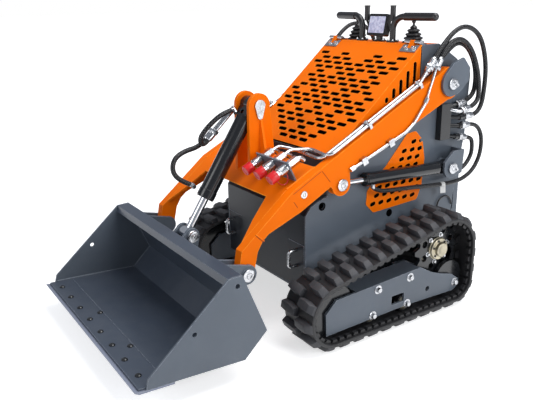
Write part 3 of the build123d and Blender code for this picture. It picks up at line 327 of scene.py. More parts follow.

# %% The four effects
# Edge wear and highlight: a rounded normal leaves the true one near an edge, and noise breaks that band up.
# The band is partly paint rubbed thin and partly a painted highlight along the edge.
edge_wear_and_highlight, given, end = new_group("edge wear and highlight", "Mask", Radius=0.002, Amount=0.5, Scale=60.0)
turned = node(edge_wear_and_highlight, "ShaderNodeVectorMath", {"operation": "DOT_PRODUCT"})
feed(turned, input0=node(edge_wear_and_highlight, "ShaderNodeBevel", {"samples": 4}, Radius=given["Radius"]).outputs[0])
feed(turned, input1=edge_wear_and_highlight.nodes.new("ShaderNodeNewGeometry").outputs["True Normal"])
band = ramp(edge_wear_and_highlight, maths(edge_wear_and_highlight, "SUBTRACT", 1.0, turned.outputs["Value"]), 0.02, 0.25)
broken = ramp(edge_wear_and_highlight, noise(edge_wear_and_highlight, given["Scale"], 4.0, 0.65), 0.30, 0.52)
wear_and_highlight = maths(edge_wear_and_highlight, "MULTIPLY", band, broken)
feed(end, Mask=maths(edge_wear_and_highlight, "MULTIPLY", wear_and_highlight, given["Amount"], clamp=True))

# Dust: noise, thicker low down and on faces that look up.
dust, given, end = new_group("dust", "Mask", Amount=0.3, Top=0.35, Scale=14.0)
height = node(dust, "ShaderNodeSeparateXYZ", Vector=own_place(dust)).outputs["Z"]
normal = dust.nodes.new("ShaderNodeNewGeometry").outputs["Normal"]
facing = node(dust, "ShaderNodeSeparateXYZ", Vector=normal).outputs["Z"]
low_down = maths(dust, "SUBTRACT", 1.0, ramp(dust, height, 0.0, given["Top"]))
lying = maths(dust, "MULTIPLY", ramp(dust, facing, 0.2, 0.95), 0.35)
speckle = ramp(dust, noise(dust, given["Scale"], 6.0, 0.7), 0.3, 0.75)
thick = maths(dust, "MULTIPLY", maths(dust, "ADD", low_down, lying), speckle)
feed(end, Mask=maths(dust, "MULTIPLY", thick, given["Amount"], clamp=True))

# Ripple: the fine waviness of sprayed paint, as a height.
ripple, given, end = new_group("paint ripple", "Height", Scale=260.0)
feed(end, Height=noise(ripple, given["Scale"], 1.0, 0.4))

# Tone: slow darker and lighter patches, as a factor from 0 to 1.
tone, given, end = new_group("tone", "Mask", Scale=3.0)
feed(end, Mask=ramp(tone, noise(tone, given["Scale"], 3.0, 0.55), 0.3, 0.7))
print("groups", [group.name for group in bpy.data.node_groups])

# %% [markdown]
# ## Paint
# The arms, hood and screens are powder coated in a saturated orange, the body and bucket in a blue-grey,
# and the small steelwork in gloss black. The bucket's grey is mixed darker than the body's, as painted shade
# for the shaded inside of the bucket. They differ in colour and gloss alone, so one function makes all of
# them. At an edge a paler, rougher colour shows. It is partly the undercoat where the coat has gone through
# and partly a painted highlight where the rounded edge catches the light. Dust dulls the lowest parts.

# %% Helpers for finishes
def shader(name):
    """A material with an empty Principled BSDF, its tree and that shader's node."""
    material = bpy.data.materials.new(name)
    material.use_nodes = True
    return material, material.node_tree, material.node_tree.nodes["Principled BSDF"]


def group(tree, effect, **inputs):
    """A shared effect placed in a material with its own numbers."""
    return node(tree, "ShaderNodeGroup", {"node_tree": effect}, **inputs).outputs[0]


def mixed(tree, share, first, second):
    """Two colours mixed by a share from 0 to 1; each is three numbers or another node's output."""
    first, second = (c if isinstance(c, bpy.types.NodeSocket) else (*c, 1.0) for c in (first, second))
    made = node(tree, "ShaderNodeMix", {"data_type": "RGBA"}, input0=share, input6=first, input7=second)
    return made.outputs[2]


def between_values(tree, share, low, high):
    """A number that goes from low to high as the share goes from 0 to 1."""
    return node(tree, "ShaderNodeMapRange", Value=share, To_Min=low, To_Max=high).outputs["Result"]


def bump(tree, strength, depth, height):
    """A normal tilted by a height from 0 to 1 that stands for the depth."""
    return node(tree, "ShaderNodeBump", Strength=strength, Distance=depth, Height=height).outputs[0]


DUST = (0.30, 0.29, 0.28)
print("dust colour", DUST)


# %% The paints
def paint(name, colour, edge_colour_worn_and_lit, rough, coat, edge_rub_and_light, dusty, gloss=0.3):
    """Sprayed paint: tone and dust in its colour, a paler edge band of wear and painted highlight, and a
    rippled clear top.
    """
    material, tree, surface = shader(name)
    body_colour = mixed(tree, group(tree, tone, Scale=3.0), [c * 0.86 for c in colour], colour)
    # Paler edges: part wear, part painted highlight where the rounded edge catches the light.
    edges_rubbed_and_lit = group(tree, edge_wear_and_highlight, Radius=4.2 * MM, Amount=edge_rub_and_light, Scale=55.0)
    settled = group(tree, dust, Amount=dusty, Top=0.38, Scale=16.0)
    dulled = maths(tree, "MAXIMUM", settled, edges_rubbed_and_lit)
    feed(
        surface,
        Base_Color=mixed(tree, settled, mixed(tree, edges_rubbed_and_lit, body_colour, edge_colour_worn_and_lit), DUST),
        Roughness=between_values(tree, dulled, rough, min(rough + 0.4, 0.9)),
        Specular_IOR_Level=gloss,
        Coat_Roughness=0.12,
        Coat_Weight=between_values(tree, dulled, coat, 0.0),
        Normal=bump(tree, 0.05, 0.4 * MM, group(tree, ripple, Scale=240.0)),
    )
    return material


# Each paint's second colour is its paler edge colour, partly undercoat showing through and partly painted
# highlight. The orange's light orange edge is a painted highlight.
orange = paint("orange paint", (0.95, 0.172, 0.0005), (1.0, 0.40, 0.05), 0.42, 0.03, 0.95, 0.02, gloss=0.07)
grey = paint("blue grey paint", (0.098, 0.118, 0.146), (0.36, 0.39, 0.44), 0.40, 0.12, 0.85, 0.06)
# The bucket's paint is darker than the body's blue-grey: painted shade for the bucket's shaded inside.
shaded_bucket_grey = paint("bucket grey painted shade", (0.052, 0.066, 0.092), (0.33, 0.36, 0.42), 0.30, 0.2, 0.85, 0.04)
dark_grey = paint("dark box paint", (0.014, 0.018, 0.026), (0.22, 0.24, 0.27), 0.42, 0.05, 0.8, 0.03)
black = paint("black paint", (0.008, 0.009, 0.011), (0.06, 0.06, 0.065), 0.22, 0.5, 0.4, 0.03)
wear_steel = paint("scoured edge", (0.21, 0.235, 0.31), (0.42, 0.43, 0.46), 0.34, 0.2, 0.9, 0.1)
print("paints", orange.name, grey.name, shaded_bucket_grey.name, dark_grey.name, black.name, wear_steel.name)

# %% [markdown]
# ## Plated and bare metal
# Pins, tubes, fittings and bolts are zinc plated: a milky, slightly blotched silver. The cylinder rods are
# hard chromed and mirror-like, and the drive hub wears a yellow passivated plating. All are the same kind
# of surface with other numbers: a metal whose roughness and tone wander. The cutting edge is painted once
# and scoured by the first shovelful, so it is one of the paints above.

# %% Metals
def metal(name, colour, blotch, rough, uneven, scale):
    """Bare or plated metal: tone between two colours, and uneven roughness."""
    material, tree, surface = shader(name)
    patches = ramp(tree, noise(tree, scale, 5.0, 0.7), 0.3, 0.72)
    settled = group(tree, dust, Amount=0.12, Top=0.3, Scale=20.0)
    feed(
        surface,
        Base_Color=mixed(tree, settled, mixed(tree, patches, colour, blotch), DUST),
        Roughness=between_values(tree, patches, rough, rough + uneven),
        Metallic=1.0,
    )
    return material


zinc = metal("zinc plate", (0.62, 0.63, 0.65), (0.40, 0.41, 0.43), 0.16, 0.16, 45.0)
chrome = metal("hard chrome", (0.82, 0.83, 0.85), (0.74, 0.75, 0.77), 0.07, 0.05, 20.0)
yellow_zinc = metal("yellow zinc", (0.54, 0.49, 0.36), (0.38, 0.35, 0.28), 0.3, 0.2, 30.0)
iron = metal("cast iron", (0.10, 0.10, 0.105), (0.06, 0.06, 0.06), 0.5, 0.2, 60.0)
print("metals", zinc.name, chrome.name, yellow_zinc.name, iron.name)

# %% [markdown]
# ## Rubber and plastic
# The tracks are thick black rubber gone grey with dust on their blocks, and the grips, boots and caps are
# moulded. Rubber has hardly any gloss and a fine pitted skin. It could be displaced, but the pits are a tenth
# of a millimetre or so deep, so a bump is enough.

# %% Rubber and plastics
def moulded(name, colour, rough, pit_scale, pit_depth, dusty=0.0, top=0.3):
    """Moulded rubber or plastic: a flat colour with tone, a pitted skin and dust; the depth is in mm."""
    material, tree, surface = shader(name)
    own_colour = mixed(tree, group(tree, tone, Scale=9.0), [c * 0.75 for c in colour], colour)
    settled = group(tree, dust, Amount=dusty, Top=top, Scale=22.0)
    feed(
        surface,
        Base_Color=mixed(tree, settled, own_colour, DUST),
        Roughness=between_values(tree, settled, rough, min(rough + 0.3, 0.95)),
        Normal=bump(tree, 0.35, pit_depth * MM, noise(tree, pit_scale, 3.0, 0.6)),
    )
    return material


track_rubber = moulded("track rubber", (0.036, 0.037, 0.043), 0.6, 320.0, 0.8, dusty=0.22, top=0.1)
# The band is a darker copy of the track rubber: painted shade between and under the blocks.
shaded_band_rubber = moulded("track band painted shade", (0.010, 0.010, 0.012), 0.5, 320.0, 0.5, dusty=0.04, top=0.1)
tag_white = moulded("white tag", (0.70, 0.70, 0.69), 0.4, 500.0, 0.1)
soft_grip = moulded("grip rubber", (0.010, 0.010, 0.011), 0.42, 500.0, 0.2)
hard_black = moulded("black plastic", (0.014, 0.014, 0.016), 0.35, 700.0, 0.1, dusty=0.03)
red_plastic = moulded("red plastic", (0.72, 0.012, 0.018), 0.3, 400.0, 0.15)
# Near-black with hardly any gloss. Behind the openings it is painted shade; the bore rims and plugs use it
# too.
near_black = moulded("near black", (0.0008, 0.0008, 0.001), 0.9, 900.0, 0.2)
feed(near_black.node_tree.nodes["Principled BSDF"], Specular_IOR_Level=0.02)
print("moulded", track_rubber.name, soft_grip.name, hard_black.name, red_plastic.name, near_black.name)

# %% [markdown]
# ## Finishes on the frame's own nodes
# Each node of the frame names a material slot in its record, so most of the machine is dressed by one table
# from slot to finish. The thin sheet parts get a finer broken edge than the thick plates.

# %% Dress the frame nodes
finishes = {
    "orange_paint": orange, "grey_paint": grey, "wear_steel": wear_steel, "engine_iron": iron,
    "black_paint": black, "black_plastic": hard_black, "zinc": zinc, "chrome_rod": chrome,
    "red_plastic": red_plastic, "track_rubber": track_rubber, "hose_rubber": soft_grip,
}
usual_slot = {finish.name: slot for slot, finish in finishes.items()}
usual_slot.update({
    yellow_zinc.name: "zinc", tag_white.name: "zinc", near_black.name: "black_plastic",
    shaded_bucket_grey.name: "grey_paint", shaded_band_rubber.name: "track_rubber",
})
own_finish = {"console": orange, "front_box": dark_grey, "bucket_shell": shaded_bucket_grey}
slot_of = {part["node"]: part["material_slot"] for part in frame["record"]["subparts"]}
edge_width = dict.fromkeys(("hood", "side_screens", "console", "hood_hinges", "valve_blocks"), 0.7)
edge_width["control_levers"] = 3.5
for name, obj in frame["nodes"].items():
    for material_slot in obj.material_slots:
        material_slot.material = own_finish.get(name, finishes[slot_of[name]])
    broken_edges(obj, edge_width.get(name, 1.3) * MM)
print("dressed", len(slot_of), "nodes")

# %% [markdown]
# ## Hydraulic hoses
# Eleven hoses run between the manifolds on the body's sides and the arm tubes, the lift cylinders and the
# tilt cylinder. Each is a rubber hose with a woven cover, with some length to spare at rest, so it leaves
# its ferrule straight, bows out and comes back. A bevelled curve would draw it, but the woven cover has to
# follow the hose, so a ring is carried along the points of a smooth NURBS line and the mesh gets its own UV
# map: round the hose in one direction, along it in metres in the other.

# %% Woven cover
strands_round, strands_a_metre = 6.0, 120.0
hose_cover, tree, surface = shader("woven hose cover")
hose_uv = node(tree, "ShaderNodeUVMap", {"uv_map": "hose"})
split = node(tree, "ShaderNodeSeparateXYZ", Vector=hose_uv.outputs[0])
along_hose = maths(tree, "MULTIPLY", split.outputs["Y"], strands_a_metre)
strands = []
for turn in (1.0, -1.0):
    phase = maths(tree, "ADD", maths(tree, "MULTIPLY", split.outputs["X"], strands_round * turn), along_hose)
    strands.append(maths(tree, "ABSOLUTE", maths(tree, "SINE", maths(tree, "MULTIPLY", phase, math.pi))))
woven = maths(tree, "MULTIPLY", *strands)
# The crests of the weave are a lighter grey: partly the braid's own pattern, partly a painted highlight for
# the glints on its strands.
feed(
    surface,
    Base_Color=mixed(tree, ramp(tree, woven, 0.72, 0.98), (0.0010, 0.0010, 0.0014), (0.20, 0.20, 0.21)),
    Roughness=between_values(tree, woven, 0.42, 0.2),
    Specular_IOR_Level=0.25,
    Normal=bump(tree, 0.8, 0.5 * MM, woven),
)
print("weave strands", len(strands))

# %% Hose routes
# kind: (x on the left side, length, (y, z) points from end to end), in metres.
side_hoses = {
    "arm_hose_outer": (0.345, 0.731, [
        (0.545, 1.046), (0.580, 1.0884), (0.668, 1.164), (0.746, 1.172), (0.822, 1.130), (0.866, 1.040),
        (0.880, 0.940), (0.862, 0.7911), (0.800, 0.790),
    ]),
    "arm_hose_inner": (0.325, 0.494, [
        (0.593, 1.034), (0.6366, 1.0675), (0.700, 1.108), (0.764, 1.090), (0.816, 1.028), (0.840, 0.950),
        (0.8285, 0.8636), (0.768, 0.850),
    ]),
    "lift_hose_gland": (0.345, 0.909, [
        (0.782, 0.750), (0.827, 0.749), (0.872, 0.712), (0.888, 0.656), (0.880, 0.590), (0.840, 0.532),
        (0.776, 0.502), (0.700, 0.495), (0.580, 0.504), (0.440, 0.518), (0.330, 0.526), (0.264, 0.534),
        (0.236, 0.552),
    ]),
    "lift_hose_base": (0.327, 0.257, [
        (0.790, 0.690), (0.8345, 0.683), (0.846, 0.650), (0.846, 0.604), (0.816, 0.564), (0.776, 0.541),
        (0.736, 0.532),
    ]),
}
tilt_hoses = {
    "tilt_hose_base": (0.255, [
        (-0.040, -0.196, 0.866), (-0.040, -0.232, 0.858), (-0.044, -0.270, 0.836), (-0.050, -0.312, 0.800),
        (-0.058, -0.338, 0.762), (-0.076, -0.316, 0.7255), (-0.076, -0.286, 0.752),
    ]),
    "tilt_hose_gland": (0.319, [
        (-0.044, -0.398, 0.588), (-0.048, -0.438, 0.608), (-0.058, -0.466, 0.646), (-0.070, -0.450, 0.694),
        (-0.084, -0.396, 0.716), (-0.096, -0.3197, 0.7222), (-0.096, -0.286, 0.752),
    ]),
}
routes = {
    f"{kind}_{side}": (length, [(sign * x, y, z) for y, z in points], "chassis")
    for kind, (x, length, points) in side_hoses.items()
    for side, sign in SIDES.items()
}
routes.update({name: (length, points, "arms") for name, (length, points) in tilt_hoses.items()})
# The left side carries one hose more, from the tube on the arm's flank. It has no node in the frame.
flank_route = [
    (0.576, 1.045), (0.600, 1.0834), (0.646, 1.118), (0.704, 1.122), (0.764, 1.078), (0.808, 1.000),
    (0.832, 0.915), (0.830, 0.8386), (0.772, 0.826),
]
routes["arm_hose_flank_left"] = (0.55, [(0.352, y, z) for y, z in flank_route], "chassis")
print("hoses", len(routes))


# %% Hose meshes
def smooth_line(points):
    """Points along the NURBS curve whose control points are the route."""
    curve = bpy.data.curves.new("route", "CURVE")
    curve.dimensions = "3D"
    curve.resolution_u = 16
    spline = curve.splines.new("NURBS")
    spline.points.add(len(points) - 1)
    spline.points.foreach_set("co", np.column_stack([points, np.ones(len(points))]).ravel())
    spline.order_u = 3
    spline.use_endpoint_u = True
    carrier = bpy.data.objects.new("route", curve)
    mesh = bpy.data.meshes.new_from_object(carrier)
    line = np.zeros(len(mesh.vertices) * 3)
    mesh.vertices.foreach_get("co", line)
    bpy.data.objects.remove(carrier)
    bpy.data.curves.remove(curve)
    bpy.data.meshes.remove(mesh)
    return line.reshape(-1, 3)


def hose_mesh(name, line, radius, sides=20):
    """A tube round the line with flat ends and a UV map: turns round the hose, and metres along it."""
    points = carried_ring(line, radius, sides).reshape(-1, 3)
    last = len(points) - sides
    caps = [list(range(sides))[::-1], list(range(last, last + sides))]
    mesh = bpy.data.meshes.new(name)
    mesh.from_pydata(points.tolist(), [], grid_faces(len(line), sides).tolist() + caps)
    rows, columns = np.indices((len(line) - 1, sides))
    turns = np.stack([columns, columns + 1, columns + 1, columns], axis=-1) / sides
    metres = np.append(0, np.cumsum(np.linalg.norm(np.diff(line, axis=0), axis=1)))
    metres = metres[np.stack([rows, rows, rows + 1, rows + 1], axis=-1)]
    flat = np.concatenate([np.column_stack([turns.ravel(), metres.ravel()]), np.zeros((2 * sides, 2))])
    mesh.uv_layers.new(name="hose").data.foreach_set("uv", flat.astype(np.float32).ravel())
    return mesh


for node_name, (length, points, body) in routes.items():
    radius = 0.009 if node_name.startswith("lift") else 0.010
    line = smooth_line(points)
    mesh = hose_mesh(node_name + "_hose", line, radius)
    mesh.materials.append(hose_cover)
    hose = new_object(node_name + "_hose", mesh)
    smoothed(hose)
    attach(hose, body)
    if node_name in frame["nodes"]:
        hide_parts(node_name)
    measured = np.linalg.norm(np.diff(line, axis=0), axis=1).sum()
    print(node_name, "length", round(float(measured), 3), "of", length)

# %% [markdown]
# ## Tread
# The rubber track is a band moulded in one piece, with two staggered rows of blocks outside and a row of
# guide lugs inside. An array along a curve would bend the blocks; here the line round the three wheels is
# worked out as straight runs and even turns, the band is a profile carried along it, and each block is one
# stack of rings set square to the line, so it stays rigid as the real block nearly does.

# %% The line round the wheels
wheels = mm([(-93, 150, 126), (564, 119, 95), (512, 262, 149)])  # y, z and radius of the line round each
track_inner, link_length = 0.358, 0.072


def track_line(count, inset=0.0):
    """Even points (y, z) and headings round the wheels: arcs turning evenly, joined by common tangents."""
    centre, radius = wheels[:, :2], wheels[:, 2] - inset
    gap = np.roll(centre, -1, axis=0) - centre
    lean = np.arcsin((radius - np.roll(radius, -1)) / np.hypot(*gap.T))
    leaving = np.unwrap(np.arctan2(gap[:, 1], gap[:, 0]) + lean)
    arriving = np.roll(leaving, 1)
    arriving[0] -= 2 * np.pi
    steps = 80
    heading = np.linspace(arriving, leaving, steps).T.ravel()
    normal = np.column_stack([np.sin(heading), -np.cos(heading)])
    points = np.repeat(centre, steps, axis=0) + np.repeat(radius, steps)[:, None] * normal
    points, heading = np.vstack([points, points[:1]]), np.append(heading, heading[0] + 2 * np.pi)
    distance = np.concatenate([[0], np.cumsum(np.linalg.norm(np.diff(points, axis=0), axis=1))])
    even = np.arange(count) / count * distance[-1]
    place = np.column_stack([np.interp(even, distance, column) for column in points.T])
    return place, np.interp(even, distance, heading), distance[-1]


round_length = track_line(8, 0.007)[2]
link_count = round(round_length / link_length)
print("track length", round(round_length, 3), "links", link_count)


# %% Band, blocks and guide lugs
def off_line(sign, place, heading, offsets):
    """Points set off the line at each of its places, by offsets (along, across, outward)."""
    along = np.column_stack([np.cos(heading), np.sin(heading)])[:, None]
    outward = np.column_stack([np.sin(heading), -np.cos(heading)])[:, None]
    flat = place[:, None] + offsets[:, :1] * along + offsets[:, 2:] * outward
    x = np.broadcast_to(sign * (track_inner + offsets[:, 1]), flat.shape[:2])
    return np.concatenate([x[..., None], flat], axis=-1).reshape(-1, 3)


def band_shape(sign):
    """The band: a rounded flat section (distance across, depth) carried round the line, square to it."""
    across_track = (0, 3, 60, 90, 120, 177, 180, 180, 177, 3, 0)
    depth = np.array((3, 0, -1, 1, -1, 0, 3, 11, 14, 14, 11))
    section = mm(np.column_stack([np.zeros(len(depth)), across_track, -depth]))
    steps = 360
    place, heading, _ = track_line(steps)
    return off_line(sign, place, heading, section), grid_faces(steps, len(section), close_rows=True).tolist()


def blocks_shape(sign, rings, shift, inset, way=1.0):
    """One block per link: rings of corners (along, across, height in mm) stacked outward from the line."""
    place, heading, _ = track_line(2 * link_count, inset)
    corners = mm(rings).reshape(-1, 3) * (1, 1, way)
    points = off_line(sign, place[shift::2], heading[shift::2], corners)
    size, count = len(rings[0]), len(corners)
    block = grid_faces(len(rings), size).tolist() + [list(range(size)), list(range(count - size, count))]
    return points, [[i + k * count for i in face] for k in range(link_count) for face in block]


def block_rings(near, far, slope):
    """A slanted block between two distances across, tapering upward, its outer end drawn in by the slope."""
    plan = [(-22, 0.0), (14, 0.0), (22, 0.45), (22, 1.0), (-14, 1.0), (-22, 0.55)]
    levels = [(-2, 1.0, 0.0), (9, 0.93, 0.12), (24, 0.76, 1.0)]
    return [
        [(a * grow, near + t * (far - near - slope * draw), rise) for a, t in plan]
        for rise, grow, draw in levels
    ]


def lug_rings(wide, near, far, high):
    """A guide lug: a rectangle that narrows to 0.6 of its width at its top."""
    levels = ((wide, -2), (0.6 * wide, high))
    return [[(-w, near, h), (w, near, h), (w, far, h), (-w, far, h)] for w, h in levels]


block_rows = ((5, 86, 0), (95, 178, 20))  # near, far and slope of each
lugs = (((20, 99, 104, 21), 0), ((15, 152, 168, 13), 0), ((15, 152, 168, 13), 1))  # sizes and shift of each
for side, sign in SIDES.items():
    guides = [blocks_shape(sign, lug_rings(*size), shift, 0.014, -1.0) for size, shift in lugs]
    # The band and its guide lugs take the darker rubber, as painted shade between the blocks.
    add_piece(f"tread_band_{side}", [band_shape(sign), *guides], "chassis", shaded_band_rubber)
    rows = [blocks_shape(sign, block_rings(*row), k, 0.001) for k, row in enumerate(block_rows)]
    tread = add_piece(f"tread_{side}", rows, "chassis", track_rubber, smooth=False)
    rim = {"width": 1.6 * MM, "segments": 2, "limit_method": "ANGLE", "angle_limit": math.radians(30)}
    modify(tread, "moulded edges", "BEVEL", **rim)
    smoothed(tread)
    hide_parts(f"track_{side}")

# %% [markdown]
# ## Bolts, pins and plates
# Every joint of the machine shows a hexagon head, a domed pin or a keeper bolt. They are lathe profiles: a
# head with six sides is the same turned profile as a washer with twenty, so a list of places makes a whole
# group of bolts as one mesh.

# %% Fasteners
def bolt(place, axis, flats):
    """A hexagon head with a chamfered top, on a washer; flats is the spanner size in mm."""
    size = flats * MM
    washer = np.array([(0, 0), (0.92, 0), (0.92, 0.11), (0, 0.11)]) * size
    head = np.array([(0, 0.1), (0.577, 0.1), (0.577, 0.6), (0.5, 0.72), (0, 0.72)]) * size
    return joined([lathe(washer, place, axis, 20), lathe(head, place, axis, 6)])


def pin_cap(place, axis, radius):
    """A turned pin head: a chamfered disc with a shallow ring groove and a raised centre; all in mm."""
    r = radius
    profile = [(0, -4), (r, -4), (r, 1), (0.9 * r, 2.2), (0.52 * r, 2.4), (0.46 * r, 0.9)]
    profile += [(0.4 * r, 0.9), (0.36 * r, 3.4), (0.2 * r, 4.4), (0, 4.6)]
    return lathe(mm(profile), mm(place), axis, 32)


def bolt_group(name, places, axis, body, flats):
    """Zinc bolts at places given in mm, all facing one way, as one piece."""
    return add_piece(name, [bolt(mm(place), axis, flats) for place in places], body, zinc)


side_pins = {  # name: (body, [((x, y, z), radius)]), in mm, on the left side
    "arm_pin_caps": ("arms", [((366, 57, 599), 24.3), ((357, -124, 591), 15)]),
    "tower_pin_caps": ("chassis", [((381, 634.5, 943), 24.3), ((381, 668.5, 574), 24.3)]),
    "hitch_pin_cap": ("bucket", [((381, -389, 338), 24.4)]),
    "tilt_pin_cap": ("bucket", [((53, -443, 402), 24.4)]),
}
side_bolts = {  # name: (spanner size, x, [(y, z)])
    "track_frame_bolts": (20.0, 496, [(138, 184), (314, 192), (113, 78), (302, 78), (588, 100)]),
    "keeper_bolts": (11.0, 382, [(653, 936), (687, 567)]),
}
for side, sign in SIDES.items():
    out = (sign, 0, 0)
    for name, (body, pins) in side_pins.items():
        shapes = [pin_cap((sign * x, y, z), out, r) for (x, y, z), r in pins]
        add_piece(f"{name}_{side}", shapes, body, zinc)
    for name, (flats, x, places) in side_bolts.items():
        bolt_group(f"{name}_{side}", [(sign * x, y, z) for y, z in places], out, "chassis", flats)

# %% [markdown]
# ## Drive hubs and rollers
# Behind the sprocket sits a hydraulic motor. Its shaft hub comes through the disc as a yellow passivated
# flange with a ring of bolts round it. The rim of the motor's own flange shows in the sprocket's windows.

# %% Hubs
axle_y, axle_z = 512, 262
hub_profile = mm([
    (0, 0), (50, 0), (50, 3), (47.5, 4), (47.5, 13), (45.5, 14.8), (33, 14.8), (31, 16), (30.6, 29),
    (28.6, 31), (19, 31), (17.5, 30.3), (0, 30.3),
])
rim_profile = mm([(62.3, -26), (77, -26), (77, -17), (62.3, -17), (62.3, -26)])
socket_profile = mm([(0, 0), (4.6, 0), (4.6, 3), (3.8, 3.8), (2.4, 3.8), (2.2, 2), (0, 2)])
roller_profile = mm([(0, 0), (33, 0), (32, 2.0), (20, 2.4), (18, 1.2), (0, 1.2)])


def round_axle(x, radius, first_turn):
    """Six places evenly round the axle, in mm."""
    turns = np.radians(first_turn + 60 * np.arange(6))
    return [(x, axle_y + radius * math.cos(a), axle_z + radius * math.sin(a)) for a in turns]


for side, sign in SIDES.items():
    out = (sign, 0, 0)
    hub_place = mm((sign * 456, axle_y, axle_z))
    add_piece(f"hub_{side}", [lathe(hub_profile, hub_place, out, 48)], "chassis", yellow_zinc)
    add_piece(f"motor_rim_{side}", [lathe(rim_profile, hub_place, out, 48)], "chassis", yellow_zinc)
    bolt_group(f"sprocket_bolts_{side}", round_axle(sign * 456.3, 60, 15), out, "chassis", 12.0)
    sockets = [lathe(socket_profile, mm(place), out, 16) for place in round_axle(sign * 470.6, 38, 45)]
    add_piece(f"hub_screws_{side}", sockets, "chassis", iron)
    rollers = [lathe(roller_profile, mm((sign * 483, y, 78.3)), out, 40) for y in (113, 302)]
    add_piece(f"roller_faces_{side}", rollers, "chassis", yellow_zinc)

# %% [markdown]
# ## Painted shade behind the openings
# A thin near-black sheet lies a few millimetres inside the hood's slots and the side screens: painted shade
# for the dark engine bay seen through them.

# %% Shade sheets
def inclined(angle):
    """Directions up a slope that rises to the rear by the angle, and square out of it."""
    return np.array([(0.0, math.cos(angle), math.sin(angle)), (0.0, -math.sin(angle), math.cos(angle))])


up_slope, out_of_slope = inclined(math.radians(40.7))
down_slope = -up_slope
hood_edge = np.array((0.0, 0.518, 1.104))


def side_plates(outline, x, thickness):
    """The same plate on both sides, its inner face at distance x, from (y, z) points in mm."""
    planes = [((sign * x * MM, 0, 0), (0, 1, 0), (0, 0, 1)) for sign in SIDES.values()]
    return [extruded(mm(outline), plane, thickness * MM) for plane in planes]


# Painted shade: near-black sheets inside the hood's slots and its cheeks.
hood_outline = mm([(-295, 56), (295, 56), (295, 606), (-295, 606)])
hood_sheet = extruded(hood_outline, (hood_edge - 8.5 * MM * out_of_slope, (1, 0, 0), down_slope), 1 * MM)
cheeks = side_plates([(320, 866), (507, 902), (507, 1082), (320, 922)], 296.5, 1)
add_piece("hood_slot_shade", [hood_sheet, *cheeks], "hood", near_black, smooth=False)
# Painted shade inside each side screen.
window = [
    (504, 736), (536, 704), (558, 620), (549, 506), (524, 449),
    (282, 437), (243, 474), (249, 526), (346, 612), (458, 730),
]
add_piece("side_screen_shade", side_plates(window, 303.5, 0.6), "chassis", near_black, smooth=False)

# %% [markdown]
# ## Console
# The operator stands behind the console and holds two padded bars. Their ends are domed, which a
# swept pipe in CAD is not. A small display stands between them, its screen given a faint painted light.

# %% Domes
def dome(place, axis, radius):
    """A half ball: radius times the cosine of latitude, raised by its sine."""
    latitude = np.radians(np.arange(0, 91, 15))
    profile = np.column_stack([np.cos(latitude), np.sin(latitude)]) * radius
    return lathe(np.vstack([[(0, -0.004), (radius, -0.004)], profile]), place, axis, 28)


bar_way = unit((205.0, 34.0, 0.0))
ends = [(mm((sign * 303, 582, 1212)), bar_way * (sign, 1, 1)) for sign in SIDES.values()]
add_piece("grip_ends", [dome(place, way, 17 * MM) for place, way in ends], "chassis", hard_black)

# %% Display
face_in, face_up = inclined(math.radians(-11))
face_middle = np.array((0.0, 0.545, 1.176))


def rounded(width, height, radius, corner=6):
    """The outline of a rectangle with round corners, in metres from its middle."""
    turn = np.radians(np.linspace(0, 90, corner) + np.arange(0, 360, 90)[:, None])
    middle = np.array([(1, 1), (-1, 1), (-1, -1), (1, -1)]) * (width / 2 - radius, height / 2 - radius)
    return (middle[:, None] + radius * np.stack([np.cos(turn), np.sin(turn)], axis=-1)).reshape(-1, 2)


bezel = extruded(rounded(0.112, 0.086, 0.005), (face_middle, (1, 0, 0), face_up), 1.2 * MM, 0.4 * MM)
add_piece("display_bezel", [bezel], "chassis", black)
# The screen's faint pale blue-grey emission is painted light.
screen_painted_glow, tree, surface = shader("screen painted glow")
painted_glow = mixed(tree, group(tree, tone, Scale=70.0), (0.36, 0.38, 0.56), (0.62, 0.66, 0.82))
feed(surface, Base_Color=painted_glow, Emission_Color=painted_glow, Emission_Strength=0.25, Roughness=0.12)
screen_plane = (face_middle - 1.3 * MM * face_in, (1, 0, 0), face_up)
panel = extruded(rounded(0.100, 0.072, 0.003), screen_plane, 0.6 * MM, 0.2 * MM)
add_piece("display_screen", [panel], "chassis", screen_painted_glow)

# %% Hood hinges and the console's bolts
hinge_x = 251
leaf = mm([(-45, 7), (45, 7), (45, 47), (-45, 47)])
for side, sign in SIDES.items():
    leaf_edge = hood_edge + (sign * hinge_x * MM, 0, 0)
    plate = extruded(leaf, (leaf_edge, (1, 0, 0), down_slope), -3 * MM)
    add_piece(f"hood_hinge_leaf_{side}", [plate], "hood", zinc)
    on_leaf = leaf_edge + 26 * MM * down_slope + 3 * MM * out_of_slope
    heads = [bolt(on_leaf + (x * MM, 0, 0), out_of_slope, 13.0) for x in (-22, 22)]
    add_piece(f"hood_hinge_bolts_{side}", heads, "hood", zinc)
    places = [(sign * (hinge_x + x), 538, 1108) for x in (-20, 20)]
    bolt_group(f"console_hinge_bolts_{side}", places, (0, 0, 1), "chassis", 12.0)
bolt_group("display_bolts", [(-24, 566, 1109), (24, 566, 1109)], (0, 0, 1), "chassis", 12.0)
post_corners = ((-17, 14), (17, 14), (17, -14), (-17, -14))
places = [(sign * 98 + x, 548 + y, 1111) for sign in SIDES.values() for x, y in post_corners]
bolt_group("post_bolts", places, (0, 0, 1), "chassis", 8.0)

# %% [markdown]
# ## Hydraulic fittings
# A hose is gripped in a crimped sleeve and pulled up by a hexagon nut. Sleeves are a turned profile with
# grooves. The tubes are held on the arms by saddle clamps, and the three quick couplers wear soft red caps,
# each kept by a thin loop.

